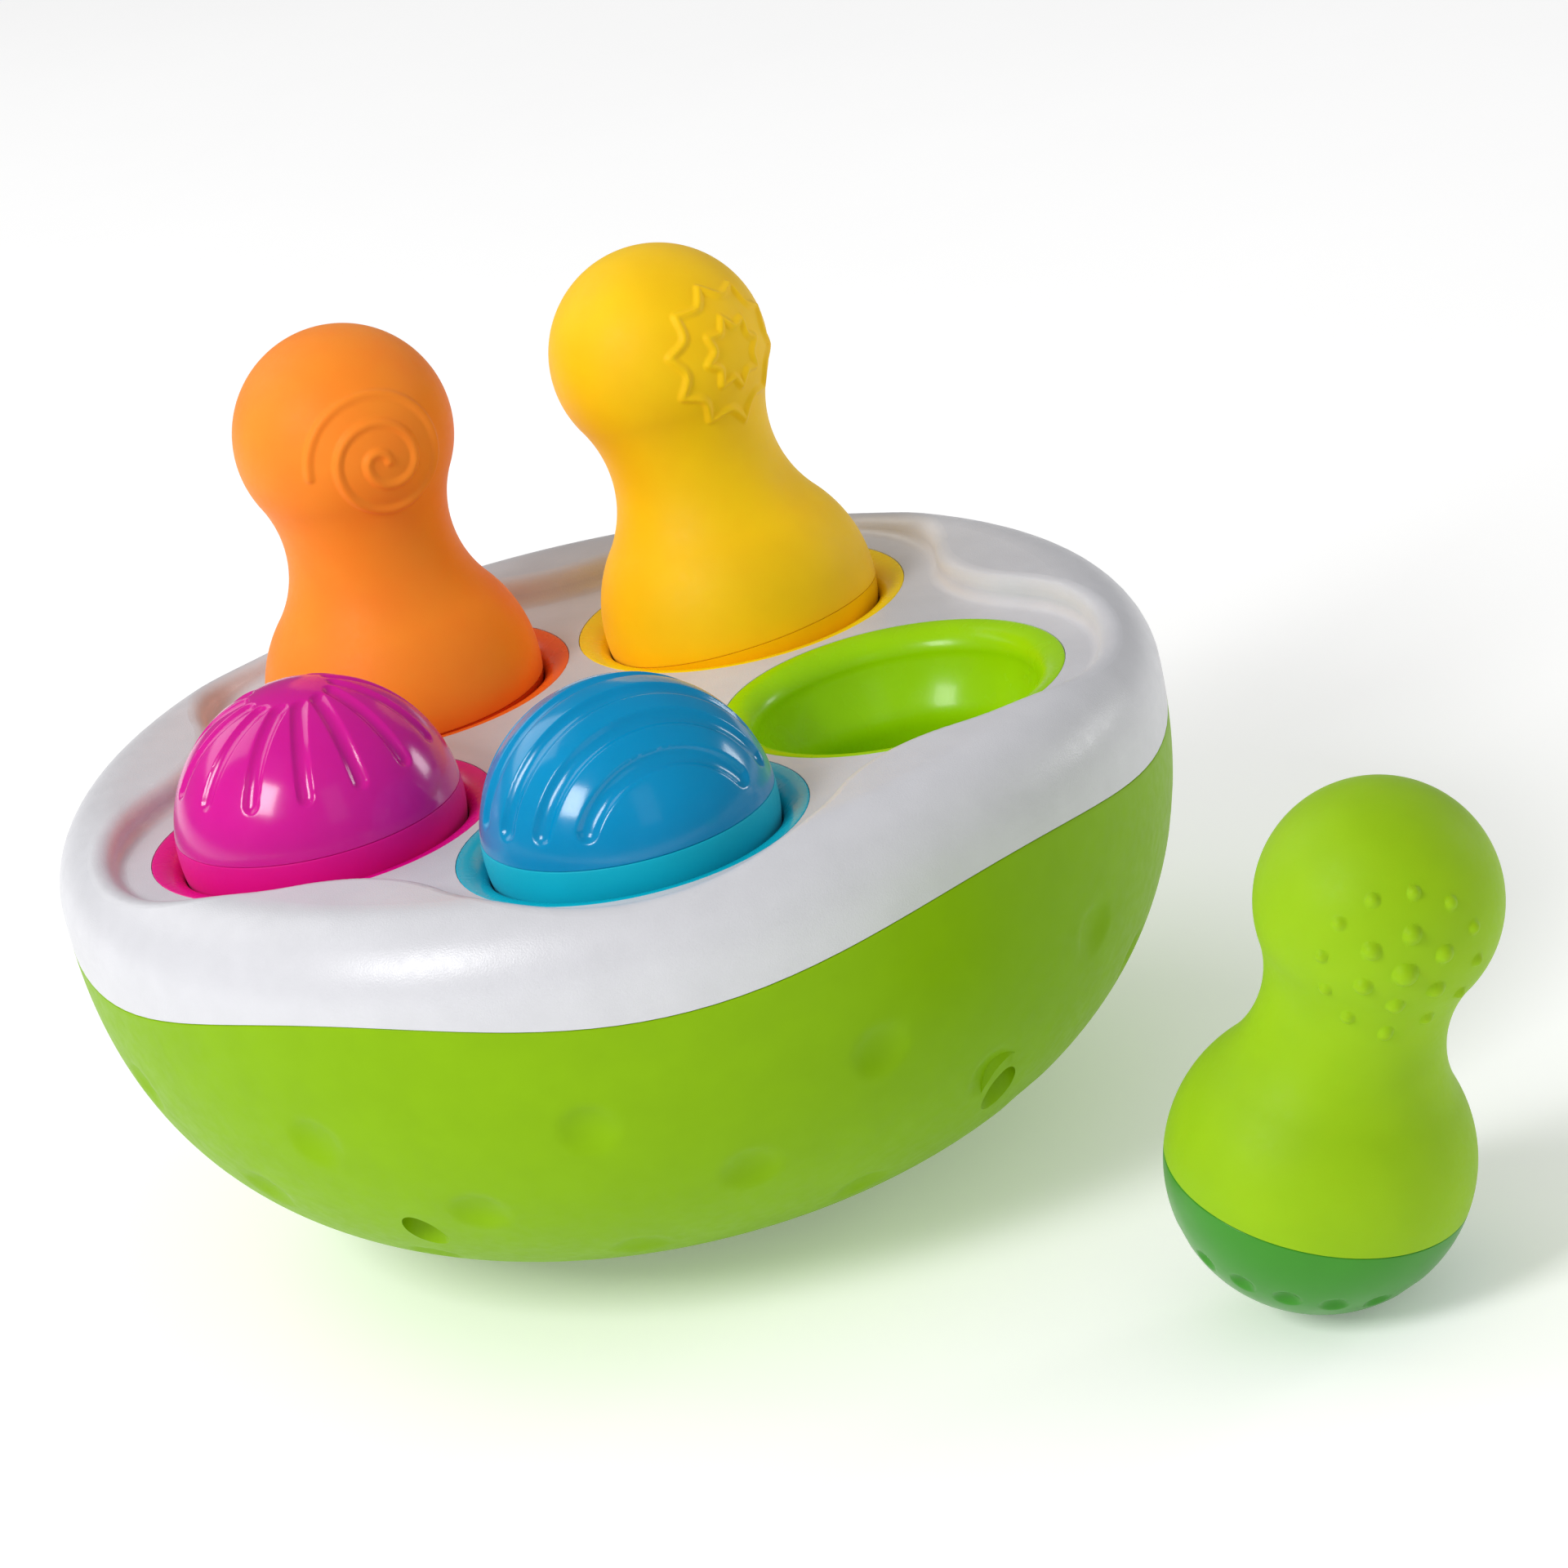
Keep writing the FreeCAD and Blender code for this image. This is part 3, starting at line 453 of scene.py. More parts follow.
def dimple_places():
    path = side_path(0.0)
    places = []
    for row, height in enumerate(dimple_ring_heights):
        radius = np.interp(height, path[:, 1], path[:, 0])
        for index in range(dimples_per_ring):
            degrees = dimple_first_angle - 360.0 / dimples_per_ring * (index + 0.5 * (row % 2))
            places.append(np.array([*at(radius, degrees), height]))
    return places


def dished(points, centers, width, depth):
    """How far round soft dishes sink each point."""
    sunk = np.zeros(points.shape[:-1])
    for center in centers:
        share = np.linalg.norm(points - center, axis=-1) / width
        sunk += depth * np.clip(1 - share ** 2, 0, None) ** dish_power
    return sunk


def at(radius, degrees):
    angle = math.radians(degrees)
    return radius * math.cos(angle), radius * math.sin(angle)


def shaft_places():
    return [at(shaft_pitch, 360.0 / cup_count * (index + 0.5)) for index in range(cup_count)]


def ballast_places():
    return [at(ballast_screw_pitch, 360.0 / ballast_screw_count * index)
            for index in range(ballast_screw_count)]


def make_bowl():
    around = azimuths(bowl_columns)
    outer = bowl_rows(0.0, around, bowl_spacing)
    grid = np.stack(outer[1:])
    sunk = dished(grid, dimple_places(), dimple_width, dimple_depth)
    side = list(grid - row_normals(grid) * sunk[..., None])
    # a fine eased edge at the seam
    top = side.pop()
    outward = np.stack([np.cos(around), np.sin(around), np.zeros_like(around)], 1)
    for angle in np.radians(seam_edge_angles):
        drop = np.array([0, 0, seam_edge_reach * (1 - math.sin(angle))])
        side.append(top - outward * seam_edge_reach * (1 - math.cos(angle)) - drop)
    inner = bowl_rows(shell_wall, around, inner_spacing)
    bowl = piece_from_rows("bowl", outer[:1] + side + inner[::-1])
    peak = np.array([[0.0, 0.0, widest_height]])
    full = piece_from_rows("helper", bowl_rows(0.0, around, inner_spacing) + [peak])
    for x, y in shaft_places():
        tube = bar(shaft_radius + shaft_wall, shell_wall, shaft_top_height, x, y)
        combine(tube, copy_of(full), "INTERSECT")
        combine(bowl, tube, "UNION")
    for x, y in ballast_places():
        combine(bowl, bar(ballast_boss_radius, shell_wall / 2, ballast_boss_top, x, y), "UNION")
    rib = bar(ballast_rib_radius, shell_wall / 2, ballast_seat_height, 0, 0)
    combine(rib, bar(ballast_rib_inner_radius, 0, seam_height, 0, 0), "DIFFERENCE")
    combine(rib, full, "INTERSECT")
    combine(bowl, rib, "UNION")
    for x, y in shaft_places():
        combine(bowl, bar(shaft_radius, -seam_height, shaft_seat_height, x, y), "DIFFERENCE")
        combine(bowl, bar(shank_hole_radius, 0, seam_height, x, y), "DIFFERENCE")
    for x, y in ballast_places():
        pilot = bar(ballast_pilot_radius, ballast_seat_height, seam_height, x, y)
        combine(bowl, pilot, "DIFFERENCE")
    dress(bowl, "bowl", "tray", "shell_green", "lower_shell")


def copy_of(piece):
    copy = piece.copy()
    copy.data = piece.data.copy()
    bpy.context.scene.collection.objects.link(copy)
    return copy


# Cups

def cup_outside():
    """The cup's outside, from under its well, round its flange and up to its lip."""
    outer = seat_radius + cup_wall
    well_outer = well_radius + cup_wall
    meet_z = seated_belly_height - math.sqrt(outer ** 2 - well_outer ** 2)
    low = math.degrees(math.atan2(meet_z - seated_belly_height, well_outer))
    high = math.degrees(math.asin(-(roof_depth + seated_belly_height) / outer))
    skirt = lip_radius - sleeve_wall
    roof_r = outer * math.cos(math.radians(high))
    foot = -flange_depth - flange_thickness
    corners = [(roof_r, -roof_depth), (skirt, -roof_depth), (skirt, foot), (flange_radius, foot),
               (flange_radius, -flange_depth), (lip_radius, -flange_depth)]
    return np.concatenate([
        arc_outline(0, -well_center_depth, well_outer, -90, 0, plain_spacing),
        line_outline((well_outer, -well_center_depth), (well_outer, meet_z), plain_spacing)[1:-1],
        arc_outline(0, seated_belly_height, outer, low, high, plain_spacing),
        *(line_outline(start, end, plain_spacing)[1:] for start, end in zip(corners, corners[1:])),
    ])


def cup_inside():
    """The cup's inside, from its lip down its seat and its well."""
    turn_r = well_radius + well_entry_radius
    reach = seat_radius + well_entry_radius
    turn_z = seated_belly_height - math.sqrt(reach ** 2 - turn_r ** 2)
    touch_angle = math.degrees(math.atan2(turn_z - seated_belly_height, turn_r))
    seat_z = -lip_depth
    start = math.degrees(math.asin((seat_z - seated_belly_height) / seat_radius))
    seat_r = seat_radius * math.cos(math.radians(start))
    quarter = np.linspace(0, math.pi / 2, lip_point_count)
    across, down = lip_radius - seat_r, lip_depth
    lip = np.stack([lip_radius - across * np.sin(quarter), down * np.cos(quarter) - down], 1)
    down_well = [
        arc_outline(0, seated_belly_height, seat_radius, start, touch_angle, plain_spacing)[1:],
        arc_outline(turn_r, turn_z, well_entry_radius, 180 + touch_angle, 180, plain_spacing)[1:],
        line_outline((well_radius, turn_z), (well_radius, -well_center_depth), plain_spacing)[1:],
        arc_outline(0, -well_center_depth, well_radius, 0, -90, plain_spacing)[1:],
    ]
    return lip, np.concatenate(down_well)


def make_cup(color):
    lip, down_well = cup_inside()
    outside = cup_outside()
    sleeve = line_outline(outside[-1], (lip_radius, 0), plain_spacing / 2)
    rim = joined([sleeve, lip], lip_edge_reach)
    outline = np.concatenate([outside[:-1], rim, down_well])
    outline[[0, -1], 0] = 0
    low_corner, high_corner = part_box(color + "_cup")
    middle = (Vector(low_corner) + Vector(high_corner)) / 2
    place = Matrix.Translation((middle.x, middle.y, high_corner[2]))
    cup = piece_from_rows(color + "_stacking_cup", turned(outline, azimuths(plain_columns)), place)
    dress(cup, color + "_stacking_cup", "tray", cup_slots[color], color + "_cup")


# Reliefs of the pins, in millimetres, for points about the belly's middle, head up

def on_sphere(polar, azimuth):
    """A direction with polar measured from straight up."""
    tilt, turn_angle = math.radians(polar), math.radians(azimuth)
    return np.array([math.sin(tilt) * math.cos(turn_angle), math.sin(tilt) * math.sin(turn_angle),
                     math.cos(tilt)])


def tangent_frame(polar, azimuth):
    """The outward direction at a place on a sphere, and two directions along the surface."""
    out = on_sphere(polar, azimuth)
    side = unit(np.cross([0, 0, 1], out))
    return out, side, np.cross(out, side)


def near_direction(axes, angle, direction):
    """Outward directions at angles from a place, in directions along the surface, in degrees."""
    out, side, up = axes
    away, turn_angle = np.radians(angle), np.radians(direction)
    along = np.multiply.outer(np.cos(turn_angle), side) + np.multiply.outer(np.sin(turn_angle), up)
    return np.multiply.outer(np.cos(away), out) + along * np.sin(away)[..., None]


def from_head(points):
    return unit(points - np.array([0, 0, head_height]))


def angle_between(directions, axis):
    return np.degrees(np.arccos(np.clip(directions @ axis, -1, 1)))


def ridge(distance, half_width, height):
    """A round ridge with soft feet, from the distance to its middle line."""
    share = np.clip(distance / half_width, 0, 1)
    return height * (1 - share ** 2) ** 2


def spiral_relief(points):
    """Half turns about two nearby axes by turns, each smaller than the one before."""
    away = from_head(points)
    axes = tangent_frame(spiral_polar, spiral_azimuth)
    centers = [near_direction(axes, np.array(angle), np.array(0.0))
               for angle in (0.0, spiral_step_angle)]
    above = away @ axes[2] > 0
    nearest = np.full(len(points), np.inf)
    for index in range(spiral_half_turns):
        radius = spiral_outer_angle - spiral_step_angle * index
        gap = np.abs(angle_between(away, centers[index % 2]) - radius)
        on_side = ~above if index % 2 else above
        nearest = np.where(on_side, np.minimum(nearest, gap), nearest)
    last = spiral_outer_angle - spiral_step_angle * (spiral_half_turns - 1)
    for angle, direction in ((spiral_outer_angle, 180.0), (last, 0.0)):
        end = near_direction(axes, np.array(angle), np.array(direction))
        nearest = np.minimum(nearest, angle_between(away, end))
    return ridge(np.radians(nearest) * head_radius, spiral_half_width, ridge_height)


def distance_to_loop(directions, loop):
    """The distance, on a unit sphere, from each direction to a closed line of directions."""
    flat = directions @ loop.T
    nearest = flat.argmax(1)
    found = np.full(len(directions), np.inf)
    for first in (nearest, (nearest - 1) % len(loop)):
        start = loop[first]
        along = loop[(first + 1) % len(loop)] - start
        offset = directions - start
        share = np.clip((offset * along).sum(1) / (along * along).sum(1), 0, 1)
        found = np.minimum(found, np.linalg.norm(offset - along * share[:, None], axis=1))
    return found


def sun_loops():
    axes = tangent_frame(sun_polar, sun_azimuth)
    loops = []
    outlines = zip(sun_points, sun_tip_angles, sun_valley_angles, sun_first_tips)
    for count, tip, valley, first in outlines:
        direction = np.arange(0, 360, 360 / (count * sun_steps_per_point))
        rise = 1 - np.abs(np.sin(np.radians(direction) * count / 2))
        loops.append(near_direction(axes, valley + (tip - valley) * rise, direction + first))
    return loops


def sun_relief(points):
    """Two closed outlines with pointed tips and round valleys."""
    away = from_head(points)
    center = on_sphere(sun_polar, sun_azimuth)
    height = np.zeros(len(points))
    inside = angle_between(away, center) < max(sun_tip_angles) + sun_margin_angle
    if inside.any():
        found = [distance_to_loop(away[inside], loop) * head_radius for loop in sun_loops()]
        height[inside] = ridge(np.minimum(*found), sun_half_width, ridge_height)
    return height


def dot_places():
    """The direction and the width of each dot."""
    axes = tangent_frame(dots_polar, dots_azimuth)
    places = [(axes[0], dot_widths[0])]
    for index, count in enumerate(dot_ring_counts):
        directions = np.arange(count) * 360.0 / count + dot_ring_turns[index]
        for direction in directions:
            away = near_direction(axes, np.array(dot_ring_angles[index]), np.array(direction))
            places.append((away, dot_widths[index + 1]))
    return places


def dots_relief(points):
    away = from_head(points)
    height = np.zeros(len(points))
    for direction, width in dot_places():
        gap = np.radians(angle_between(away, direction)) * head_radius
        share = np.clip(gap / (width * dot_foot_share), 0, 1)
        rise = (1 - share ** dot_crown_power) ** dot_foot_power
        height = np.maximum(height, width * dot_height_share * rise)
    return height


def foot_relief(points):
    """Small round dimples in a ring around the foot."""
    step = 360.0 / foot_dimple_count
    centers = [on_sphere(foot_dimple_polar, foot_dimple_first_angle + step * index) * belly_radius
               for index in range(foot_dimple_count)]
    return -dished(points, centers, foot_dimple_width, foot_dimple_depth)


def groove(distance, half_width, depth):
    """A round-bottomed groove with narrow eased edges, from the distance to its middle line."""
    level = depth * (1 - (np.abs(distance) / half_width) ** groove_round_power)
    return -(level + np.sqrt(level ** 2 + groove_edge_ease ** 2)) / 2


def upside_down(points):
    return points * np.array([1, -1, -1])


def swirl_relief(points):
    """Grooves from near the pole down the side, each on a circle that passes beside the pole."""
    away = unit(upside_down(points))
    polar = angle_between(away, np.array([0, 0, 1.0]))
    sunk = np.zeros(len(points))
    reach = math.sin(math.radians(swirl_offset_angle))
    for index in range(swirl_groove_count):
        azimuth = swirl_first_angle + 360.0 / swirl_groove_count * index
        axis = np.array([*at(1, azimuth + 90), 0.0])
        ahead = np.array([*at(1, azimuth), 0.0])
        gap = np.radians(angle_between(away, axis) - (90 - swirl_offset_angle)) * belly_radius
        past_end = polar - swirl_end_polar
        before_start = swirl_start_polar - polar
        beyond = np.radians(np.maximum(np.maximum(past_end, before_start), 0)) * belly_radius
        distance = np.hypot(gap, beyond)
        facing = away @ ahead > reach
        depth = np.where(facing, groove(distance, swirl_half_width, swirl_depth), 0)
        sunk = np.minimum(sunk, depth)
    return sunk


def wave_relief(points):
    """Parallel arcs over the pole, at steps from one level axis."""
    away = unit(upside_down(points))
    axis = np.array([*at(1, wave_axis_azimuth), 0.0])
    side = np.array([*at(1, wave_axis_azimuth + 90), 0.0])
    from_axis = angle_between(away, axis)
    across = np.degrees(np.arctan2(away @ side, away[:, 2]))
    sunk = np.zeros(len(points))
    end_height = math.cos(math.radians(wave_end_polar))
    for index in range(wave_groove_count):
        angle = wave_first_angle + wave_step_angle * index
        half = math.degrees(math.acos(end_height / math.sin(math.radians(angle))))
        beyond = np.clip(np.abs(across) - half, 0, None) * math.sin(math.radians(angle))
        distance = np.radians(np.hypot(from_axis - angle, beyond)) * belly_radius
        sunk = np.minimum(sunk, groove(distance, wave_half_width, wave_depth))
    return sunk


# Pins

def pin_place(color):
    """Where a pin stands, from its joint: the belly's middle, its lean, and its way up."""
    spin = joints[color + "_pin_spin"]
    middle = Vector(spin["pos_m"])
    lean = Vector((0, 0, 1)).rotation_difference(Vector(spin["axis"])).to_matrix().to_4x4()
    flip = Matrix.Rotation(math.pi, 4, "X") if color in upside_down_pins else Matrix.Identity(4)
    return Matrix.Translation(middle) @ lean @ flip


def make_skin(color, relief, focus):
    """The soft skin: head, neck and shoulder, open at the bottom, raised by its relief if any."""
    fine = relief is not None
    around = azimuths(fine_columns, focus, crowding) if fine else azimuths(plain_columns)
    spacing = fine_spacing if fine else plain_spacing
    bottom = -base_seam_depth - skin_foot_reach
    outside = pin_side(0, bottom, spacing)
    inside = pin_side(skin_wall, bottom, 2 * plain_spacing)[::-1]
    foot = line_outline(inside[-1], outside[0], plain_spacing)
    outline = joined([inside, foot, outside], pin_edge_reach)
    outline[[0, -1], 0] = 0
    plain_count = len(inside) + len(foot) - 1
    rows = turned(outline, around)[:plain_count] + turned(outline, around, relief)[plain_count:]
    skin = piece_from_rows(color + "_soft_skin", rows, pin_place(color))
    dress(skin, color + "_soft_skin", color + "_pin", skin_slots[color], color + "_skin")


def make_base(color, relief):
    """The hard half-round base, with its seat for the core, its spigot and its bosses."""
    top = -base_seam_depth - seam_gap
    inner = belly_radius - base_wall
    spigot_inner = spigot_radius - spigot_wall
    ledge_z = -core_ledge_depth
    foot_z = -spigot_foot_depth
    taper_z = foot_z - base_wall
    taper_r = math.sqrt(inner ** 2 - taper_z ** 2)
    top_angle = math.degrees(math.asin(top / belly_radius))
    taper_angle = math.degrees(math.atan2(taper_z, taper_r))
    outside = arc_outline(0, 0, belly_radius, -90, top_angle, fine_spacing)
    seat = [
        line_outline(outside[-1], (core_seat_radius, top), plain_spacing),
        line_outline((core_seat_radius, top), (core_seat_radius, ledge_z), plain_spacing),
    ]
    edge = joined([outside, seat[0], seat[1]], pin_edge_reach)
    rest = np.concatenate([
        line_outline((core_seat_radius, ledge_z), (spigot_radius, ledge_z), ledge_spacing)[1:],
        line_outline((spigot_radius, ledge_z), (spigot_radius, spigot_height), spigot_spacing)[1:],
        line_outline((spigot_radius, spigot_height), (spigot_inner, spigot_height), ledge_spacing)[1:],
        line_outline((spigot_inner, spigot_height), (spigot_inner, foot_z), spigot_spacing)[1:],
        line_outline((spigot_inner, foot_z), (taper_r, taper_z), ledge_spacing)[1:],
        arc_outline(0, 0, inner, taper_angle, -90, base_inner_spacing)[1:],
    ])
    edge[0, 0] = 0
    rest[-1, 0] = 0
    around = azimuths(groove_columns)
    rows = turned(edge, around, relief) + turned(rest, around)
    base = piece_from_rows(color + "_half_round_base", rows)
    for index in range(base_screw_count):
        x, y = at(base_screw_pitch, 360.0 / base_screw_count * index)
        boss = bar(base_boss_radius, -base_boss_bottom_depth, -base_boss_top_depth, x, y)
        ball = ball_outline(belly_radius - base_wall / 2)
        combine(boss, piece_from_rows("helper", turned(ball, azimuths(ball_columns))), "INTERSECT")
        combine(base, boss, "UNION")
        hole_bottom = -base_boss_top_depth - base_screw_length
        combine(base, bar(base_pilot_radius, hole_bottom, 0, x, y), "DIFFERENCE")
    base.data.transform(pin_place(color))
    dress(base, color + "_half_round_base", color + "_pin", "base_" + color, color + "_base")


def ball_outline(radius):
    outline = arc_outline(0, 0, radius, -90, 90, ledge_spacing)
    outline[[0, -1], 0] = 0
    return outline


# Materials

def srgb(red, green, blue):
    """A colour given as it shows on a screen, from 0 to 255, as the shader takes it."""
    def linear(value):
        value /= 255
        return value / 12.92 if value <= 0.04045 else ((value + 0.055) / 1.055) ** 2.4
    return (linear(red), linear(green), linear(blue), 1.0)


class Shader:
    """A material's nodes: one principled shader with textures in the object's own space."""

    def __init__(self, name, **values):
        self.material = bpy.data.materials.new(name)
        self.material.use_nodes = True
        self.tree = self.material.node_tree
        self.base = self.tree.nodes["Principled BSDF"]
        self.place = self.tree.nodes.new("ShaderNodeTexCoord").outputs["Object"]
        for socket, value in values.items():
            self.base.inputs[socket.replace("_", " ")].default_value = value

    def noise(self, size, detail=2.0):
        """Noise with blotches of about a size in millimetres."""
        node = self.tree.nodes.new("ShaderNodeTexNoise")
        node.inputs["Scale"].default_value = 1 / (size * MM)
        node.inputs["Detail"].default_value = detail
        self.tree.links.new(self.place, node.inputs["Vector"])
        return node.outputs["Fac"]

    def spread(self, value, low, high):
        """A noise's value taken to a range."""
        node = self.tree.nodes.new("ShaderNodeMapRange")
        self.tree.links.new(value, node.inputs["Value"])
        ends = {"From Min": noise_low, "From Max": noise_high, "To Min": low, "To Max": high}
        for socket, number in ends.items():
            node.inputs[socket].default_value = number
        return node.outputs["Result"]

    def color(self, value, first, second):
        """The base colour goes from one colour to another with a value."""
        node = self.tree.nodes.new("ShaderNodeMix")
        node.data_type = "RGBA"
        node.inputs["A"].default_value = first
        node.inputs["B"].default_value = second
        self.tree.links.new(value, node.inputs["Factor"])
        self.tree.links.new(node.outputs["Result"], self.base.inputs["Base Color"])

    def roughness(self, value):
        self.tree.links.new(value, self.base.inputs["Roughness"])

    def bump(self, value, depth):
        """Raises the surface by a value times a depth in millimetres."""
        node = self.tree.nodes.new("ShaderNodeBump")
        node.inputs["Distance"].default_value = depth * MM
        self.tree.links.new(value, node.inputs["Height"])
        before = self.base.inputs["Normal"]
        if before.is_linked:
            self.tree.links.new(before.links[0].from_socket, node.inputs["Normal"])
        self.tree.links.new(node.outputs["Normal"], before)


def shaded(color, factor):
    """A colour made darker or lighter."""
    return tuple(min(1.0, part * factor) for part in color[:3]) + (1.0,)


def grained_plastic(name, color, grain_size, grain_depth, rough, gleam):
    """Moulded plastic with a fine spark-eroded grain."""
    shader = Shader(name)
    shader.base.inputs["Specular IOR Level"].default_value = gleam
    tones = shader.spread(shader.noise(size=9), low=0, high=1)
    shader.color(tones, shaded(color, factor=0.97), shaded(color, factor=1.02))
    shader.roughness(shader.spread(shader.noise(size=2.5), low=rough - 0.05, high=rough + 0.05))
    shader.bump(shader.noise(grain_size, detail=3), grain_depth)
    return shader.material


def gloss_plastic(name, color, rough=0.16, gleam=0.4, glow=0.06):
    """Polished plastic, a little uneven, with some light in its depth."""
    shader = Shader(name, Subsurface_Weight=glow, Subsurface_Scale=0.002,
                    Coat_Weight=gleam / 2, Coat_Roughness=0.1)
    shader.base.inputs["Specular IOR Level"].default_value = gleam
    tones = shader.spread(shader.noise(size=14), low=0, high=1)
    shader.color(tones, shaded(color, factor=0.96), shaded(color, factor=1.03))
    shader.roughness(shader.spread(shader.noise(size=5), low=rough - 0.03, high=rough + 0.04))
    shader.bump(shader.noise(size=6, detail=1), depth=0.012)
    return shader.material


def soft_skin(name, color, deep):
    """Matte silicone with a faint bloom, and slow changes of tone."""
    shader = Shader(name, Subsurface_Weight=0.12, Subsurface_Scale=0.0015, Sheen_Weight=0.05,
                    Sheen_Roughness=0.5)
    shader.base.inputs["Specular IOR Level"].default_value = 0.2
    shader.color(shader.spread(shader.noise(size=12), low=0, high=1), color, deep)
    shader.roughness(shader.spread(shader.noise(size=1.2), low=0.5, high=0.6))
    shader.bump(shader.noise(size=0.35, detail=3), depth=0.012)
    return shader.material


def bare_steel(name, color):
    """Turned steel, a little uneven in gloss."""
    shader = Shader(name, Metallic=1.0)
    shader.color(shader.spread(shader.noise(size=3), low=0, high=1), shaded(color, factor=0.9), color)
    shader.roughness(shader.spread(shader.noise(size=0.8), low=0.28, high=0.42))
    shader.bump(shader.noise(size=0.5, detail=2), depth=0.01)
    return shader.material


cup_slots = {"green": "cup_lime", "yellow": "cup_yellow", "orange": "cup_orange",
             "magenta": "cup_pink", "blue": "cup_teal"}
skin_slots = {"orange": "skin_orange", "yellow": "skin_yellow", "green": "skin_lime",
              "magenta": "skin_pink", "blue": "skin_teal"}

materials = {
    "deck_white": grained_plastic("deck_white", srgb(209, 209, 214), grain_size=0.35,
                                  grain_depth=0.05, rough=0.33, gleam=0.6),
    "shell_green": grained_plastic("shell_green", srgb(134, 179, 0), grain_size=0.35,
                                   grain_depth=0.012, rough=0.45, gleam=0.12),
    "inner_plastic": grained_plastic("inner_plastic", srgb(225, 225, 220), grain_size=0.6,
                                     grain_depth=0.02, rough=0.5, gleam=0.35),
    "skin_yellow": soft_skin("skin_yellow", srgb(254, 203, 0), srgb(249, 197, 0)),
    "skin_orange": soft_skin("skin_orange", srgb(255, 144, 36), srgb(255, 137, 33)),
    "skin_pink": soft_skin("skin_pink", srgb(224, 0, 142), srgb(218, 0, 137)),
    "skin_teal": soft_skin("skin_teal", srgb(0, 182, 206), srgb(0, 177, 201)),
    "skin_lime": soft_skin("skin_lime", srgb(151, 195, 1), srgb(146, 190, 0)),
    "base_yellow": gloss_plastic("base_yellow", srgb(252, 196, 8)),
    "base_orange": gloss_plastic("base_orange", srgb(221, 77, 19)),
    "base_green": gloss_plastic("base_green", srgb(55, 143, 24), rough=0.34, gleam=0.3, glow=0.05),
    "steel": bare_steel("steel", srgb(170, 172, 176)),
}

cup_colors = {"cup_lime": srgb(158, 214, 0), "cup_yellow": srgb(253, 216, 5),
              "cup_orange": srgb(246, 108, 32), "cup_pink": srgb(228, 5, 138),
              "cup_teal": srgb(0, 178, 202)}
for slot, color in cup_colors.items():
    materials[slot] = gloss_plastic(slot, color, rough=0.26, gleam=0.22)

dome_colors = {"base_magenta": srgb(209, 22, 147), "base_blue": srgb(0, 139, 191)}
for slot, color in dome_colors.items():
    materials[slot] = gloss_plastic(slot, color, rough=0.17, gleam=0.36, glow=0.1)


def paint_nodes():
    """The frame's own pieces in their materials."""
    for part in frame["record"]["subparts"]:
        node = nodes[part["node"]]
        node.data.materials.clear()
        node.data.materials.append(materials[part["material_slot"]])


# Floor, light and camera

def make_floor():
    mesh = bpy.data.meshes.new("floor")
    half = floor_half_width
    mesh.from_pydata([(-half, -half, 0), (half, -half, 0), (half, half, 0), (-half, half, 0)], [],
                     [(0, 1, 2, 3)])
    floor = bpy.data.objects.new("floor", mesh)
    bpy.context.scene.collection.objects.link(floor)
    shader = Shader("floor_paper")
    shader.base.inputs["Specular IOR Level"].default_value = 0.1
    shader.base.inputs["Emission Color"].default_value = (1.0, 1.0, 1.0, 1.0)
    shader.base.inputs["Emission Strength"].default_value = floor_glow
    tones = shader.spread(shader.noise(size=400), low=0, high=1)
    shader.color(tones, srgb(248, 248, 248), srgb(251, 251, 251))
    shader.roughness(shader.spread(shader.noise(size=30), low=0.85, high=0.95))
    mesh.materials.append(shader.material)


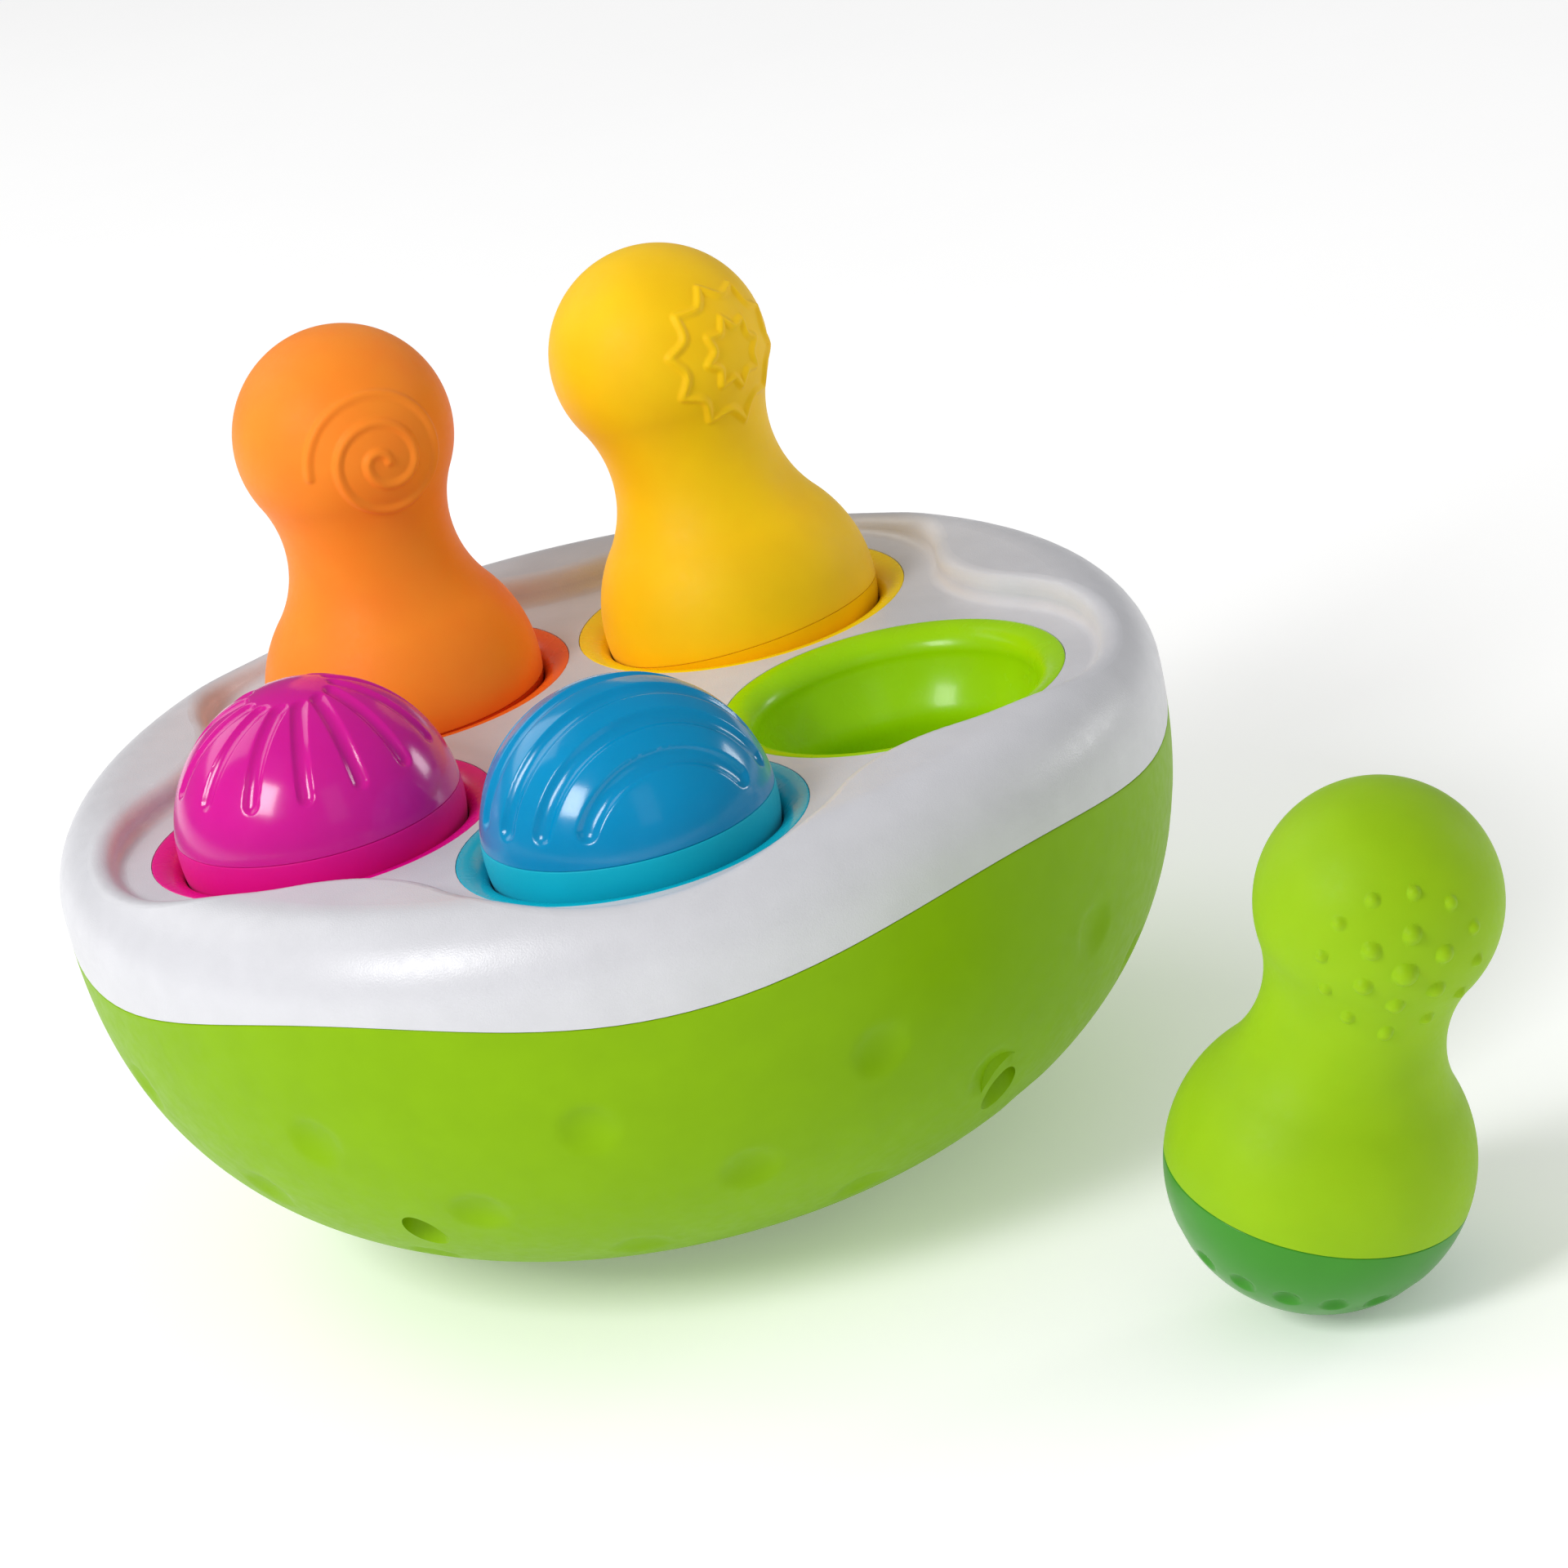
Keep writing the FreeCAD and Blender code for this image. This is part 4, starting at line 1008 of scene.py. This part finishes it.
def soft_light(name, azimuth, elevation, distance, width, height, watts):
    """A soft rectangular light that looks at the toy from a direction in degrees."""
    data = bpy.data.lights.new(name, "AREA")
    data.shape = "RECTANGLE"
    data.size = width
    data.size_y = height
    data.energy = watts
    light = bpy.data.objects.new(name, data)
    bpy.context.scene.collection.objects.link(light)
    out = Vector(on_sphere(90 - elevation, azimuth))
    light.location = Vector(light_target) + out * distance
    light.rotation_euler = out.to_track_quat("Z", "Y").to_euler()


def make_lights():
    world = bpy.data.worlds.new("studio")
    world.use_nodes = True
    tree = world.node_tree
    background = tree.nodes["Background"]
    background.inputs["Color"].default_value = (1.0, 1.0, 1.0, 1.0)
    rays = tree.nodes.new("ShaderNodeLightPath")
    strength = tree.nodes.new("ShaderNodeMapRange")
    strength.inputs["To Min"].default_value = world_light
    strength.inputs["To Max"].default_value = world_reflection
    tree.links.new(rays.outputs["Is Glossy Ray"], strength.inputs["Value"])
    tree.links.new(strength.outputs["Result"], background.inputs["Strength"])
    bpy.context.scene.world = world
    soft_light("front_left_window", azimuth=-124, elevation=38, distance=1.6,
               width=0.5, height=0.6, watts=14.2)
    soft_light("left_window", azimuth=155, elevation=40, distance=1.6,
               width=1.0, height=1.0, watts=5.4)
    soft_light("back_right_window", azimuth=36, elevation=12, distance=1.6,
               width=0.3, height=0.4, watts=2.8)
    soft_light("front_glow", azimuth=-58, elevation=30, distance=1.8,
               width=0.5, height=0.9, watts=0.6)
    bpy.context.scene.view_settings.view_transform = "Standard"


def make_camera():
    data = bpy.data.cameras.new("camera")
    data.lens = camera_lens
    data.sensor_width = camera_sensor
    data.clip_start = camera_nearest
    data.clip_end = camera_farthest
    camera = bpy.data.objects.new("camera", data)
    bpy.context.scene.collection.objects.link(camera)
    right, down, forward = Vector(camera_right), Vector(camera_down), Vector(camera_forward)
    turned_axes = Matrix((right, -down, -forward)).transposed().to_4x4()
    camera.matrix_world = Matrix.Translation(Vector(camera_place) * MM) @ turned_axes
    bpy.context.scene.camera = camera


paint_nodes()
make_bowl()
for color in cup_slots:
    make_cup(color)
make_skin("orange", spiral_relief, spiral_azimuth)
make_skin("yellow", sun_relief, sun_azimuth)
make_skin("green", dots_relief, dots_azimuth)
make_skin("magenta", None, 0)
make_skin("blue", None, 0)
make_base("green", foot_relief)
make_base("magenta", swirl_relief)
make_base("blue", wave_relief)
make_floor()
make_lights()
make_camera()
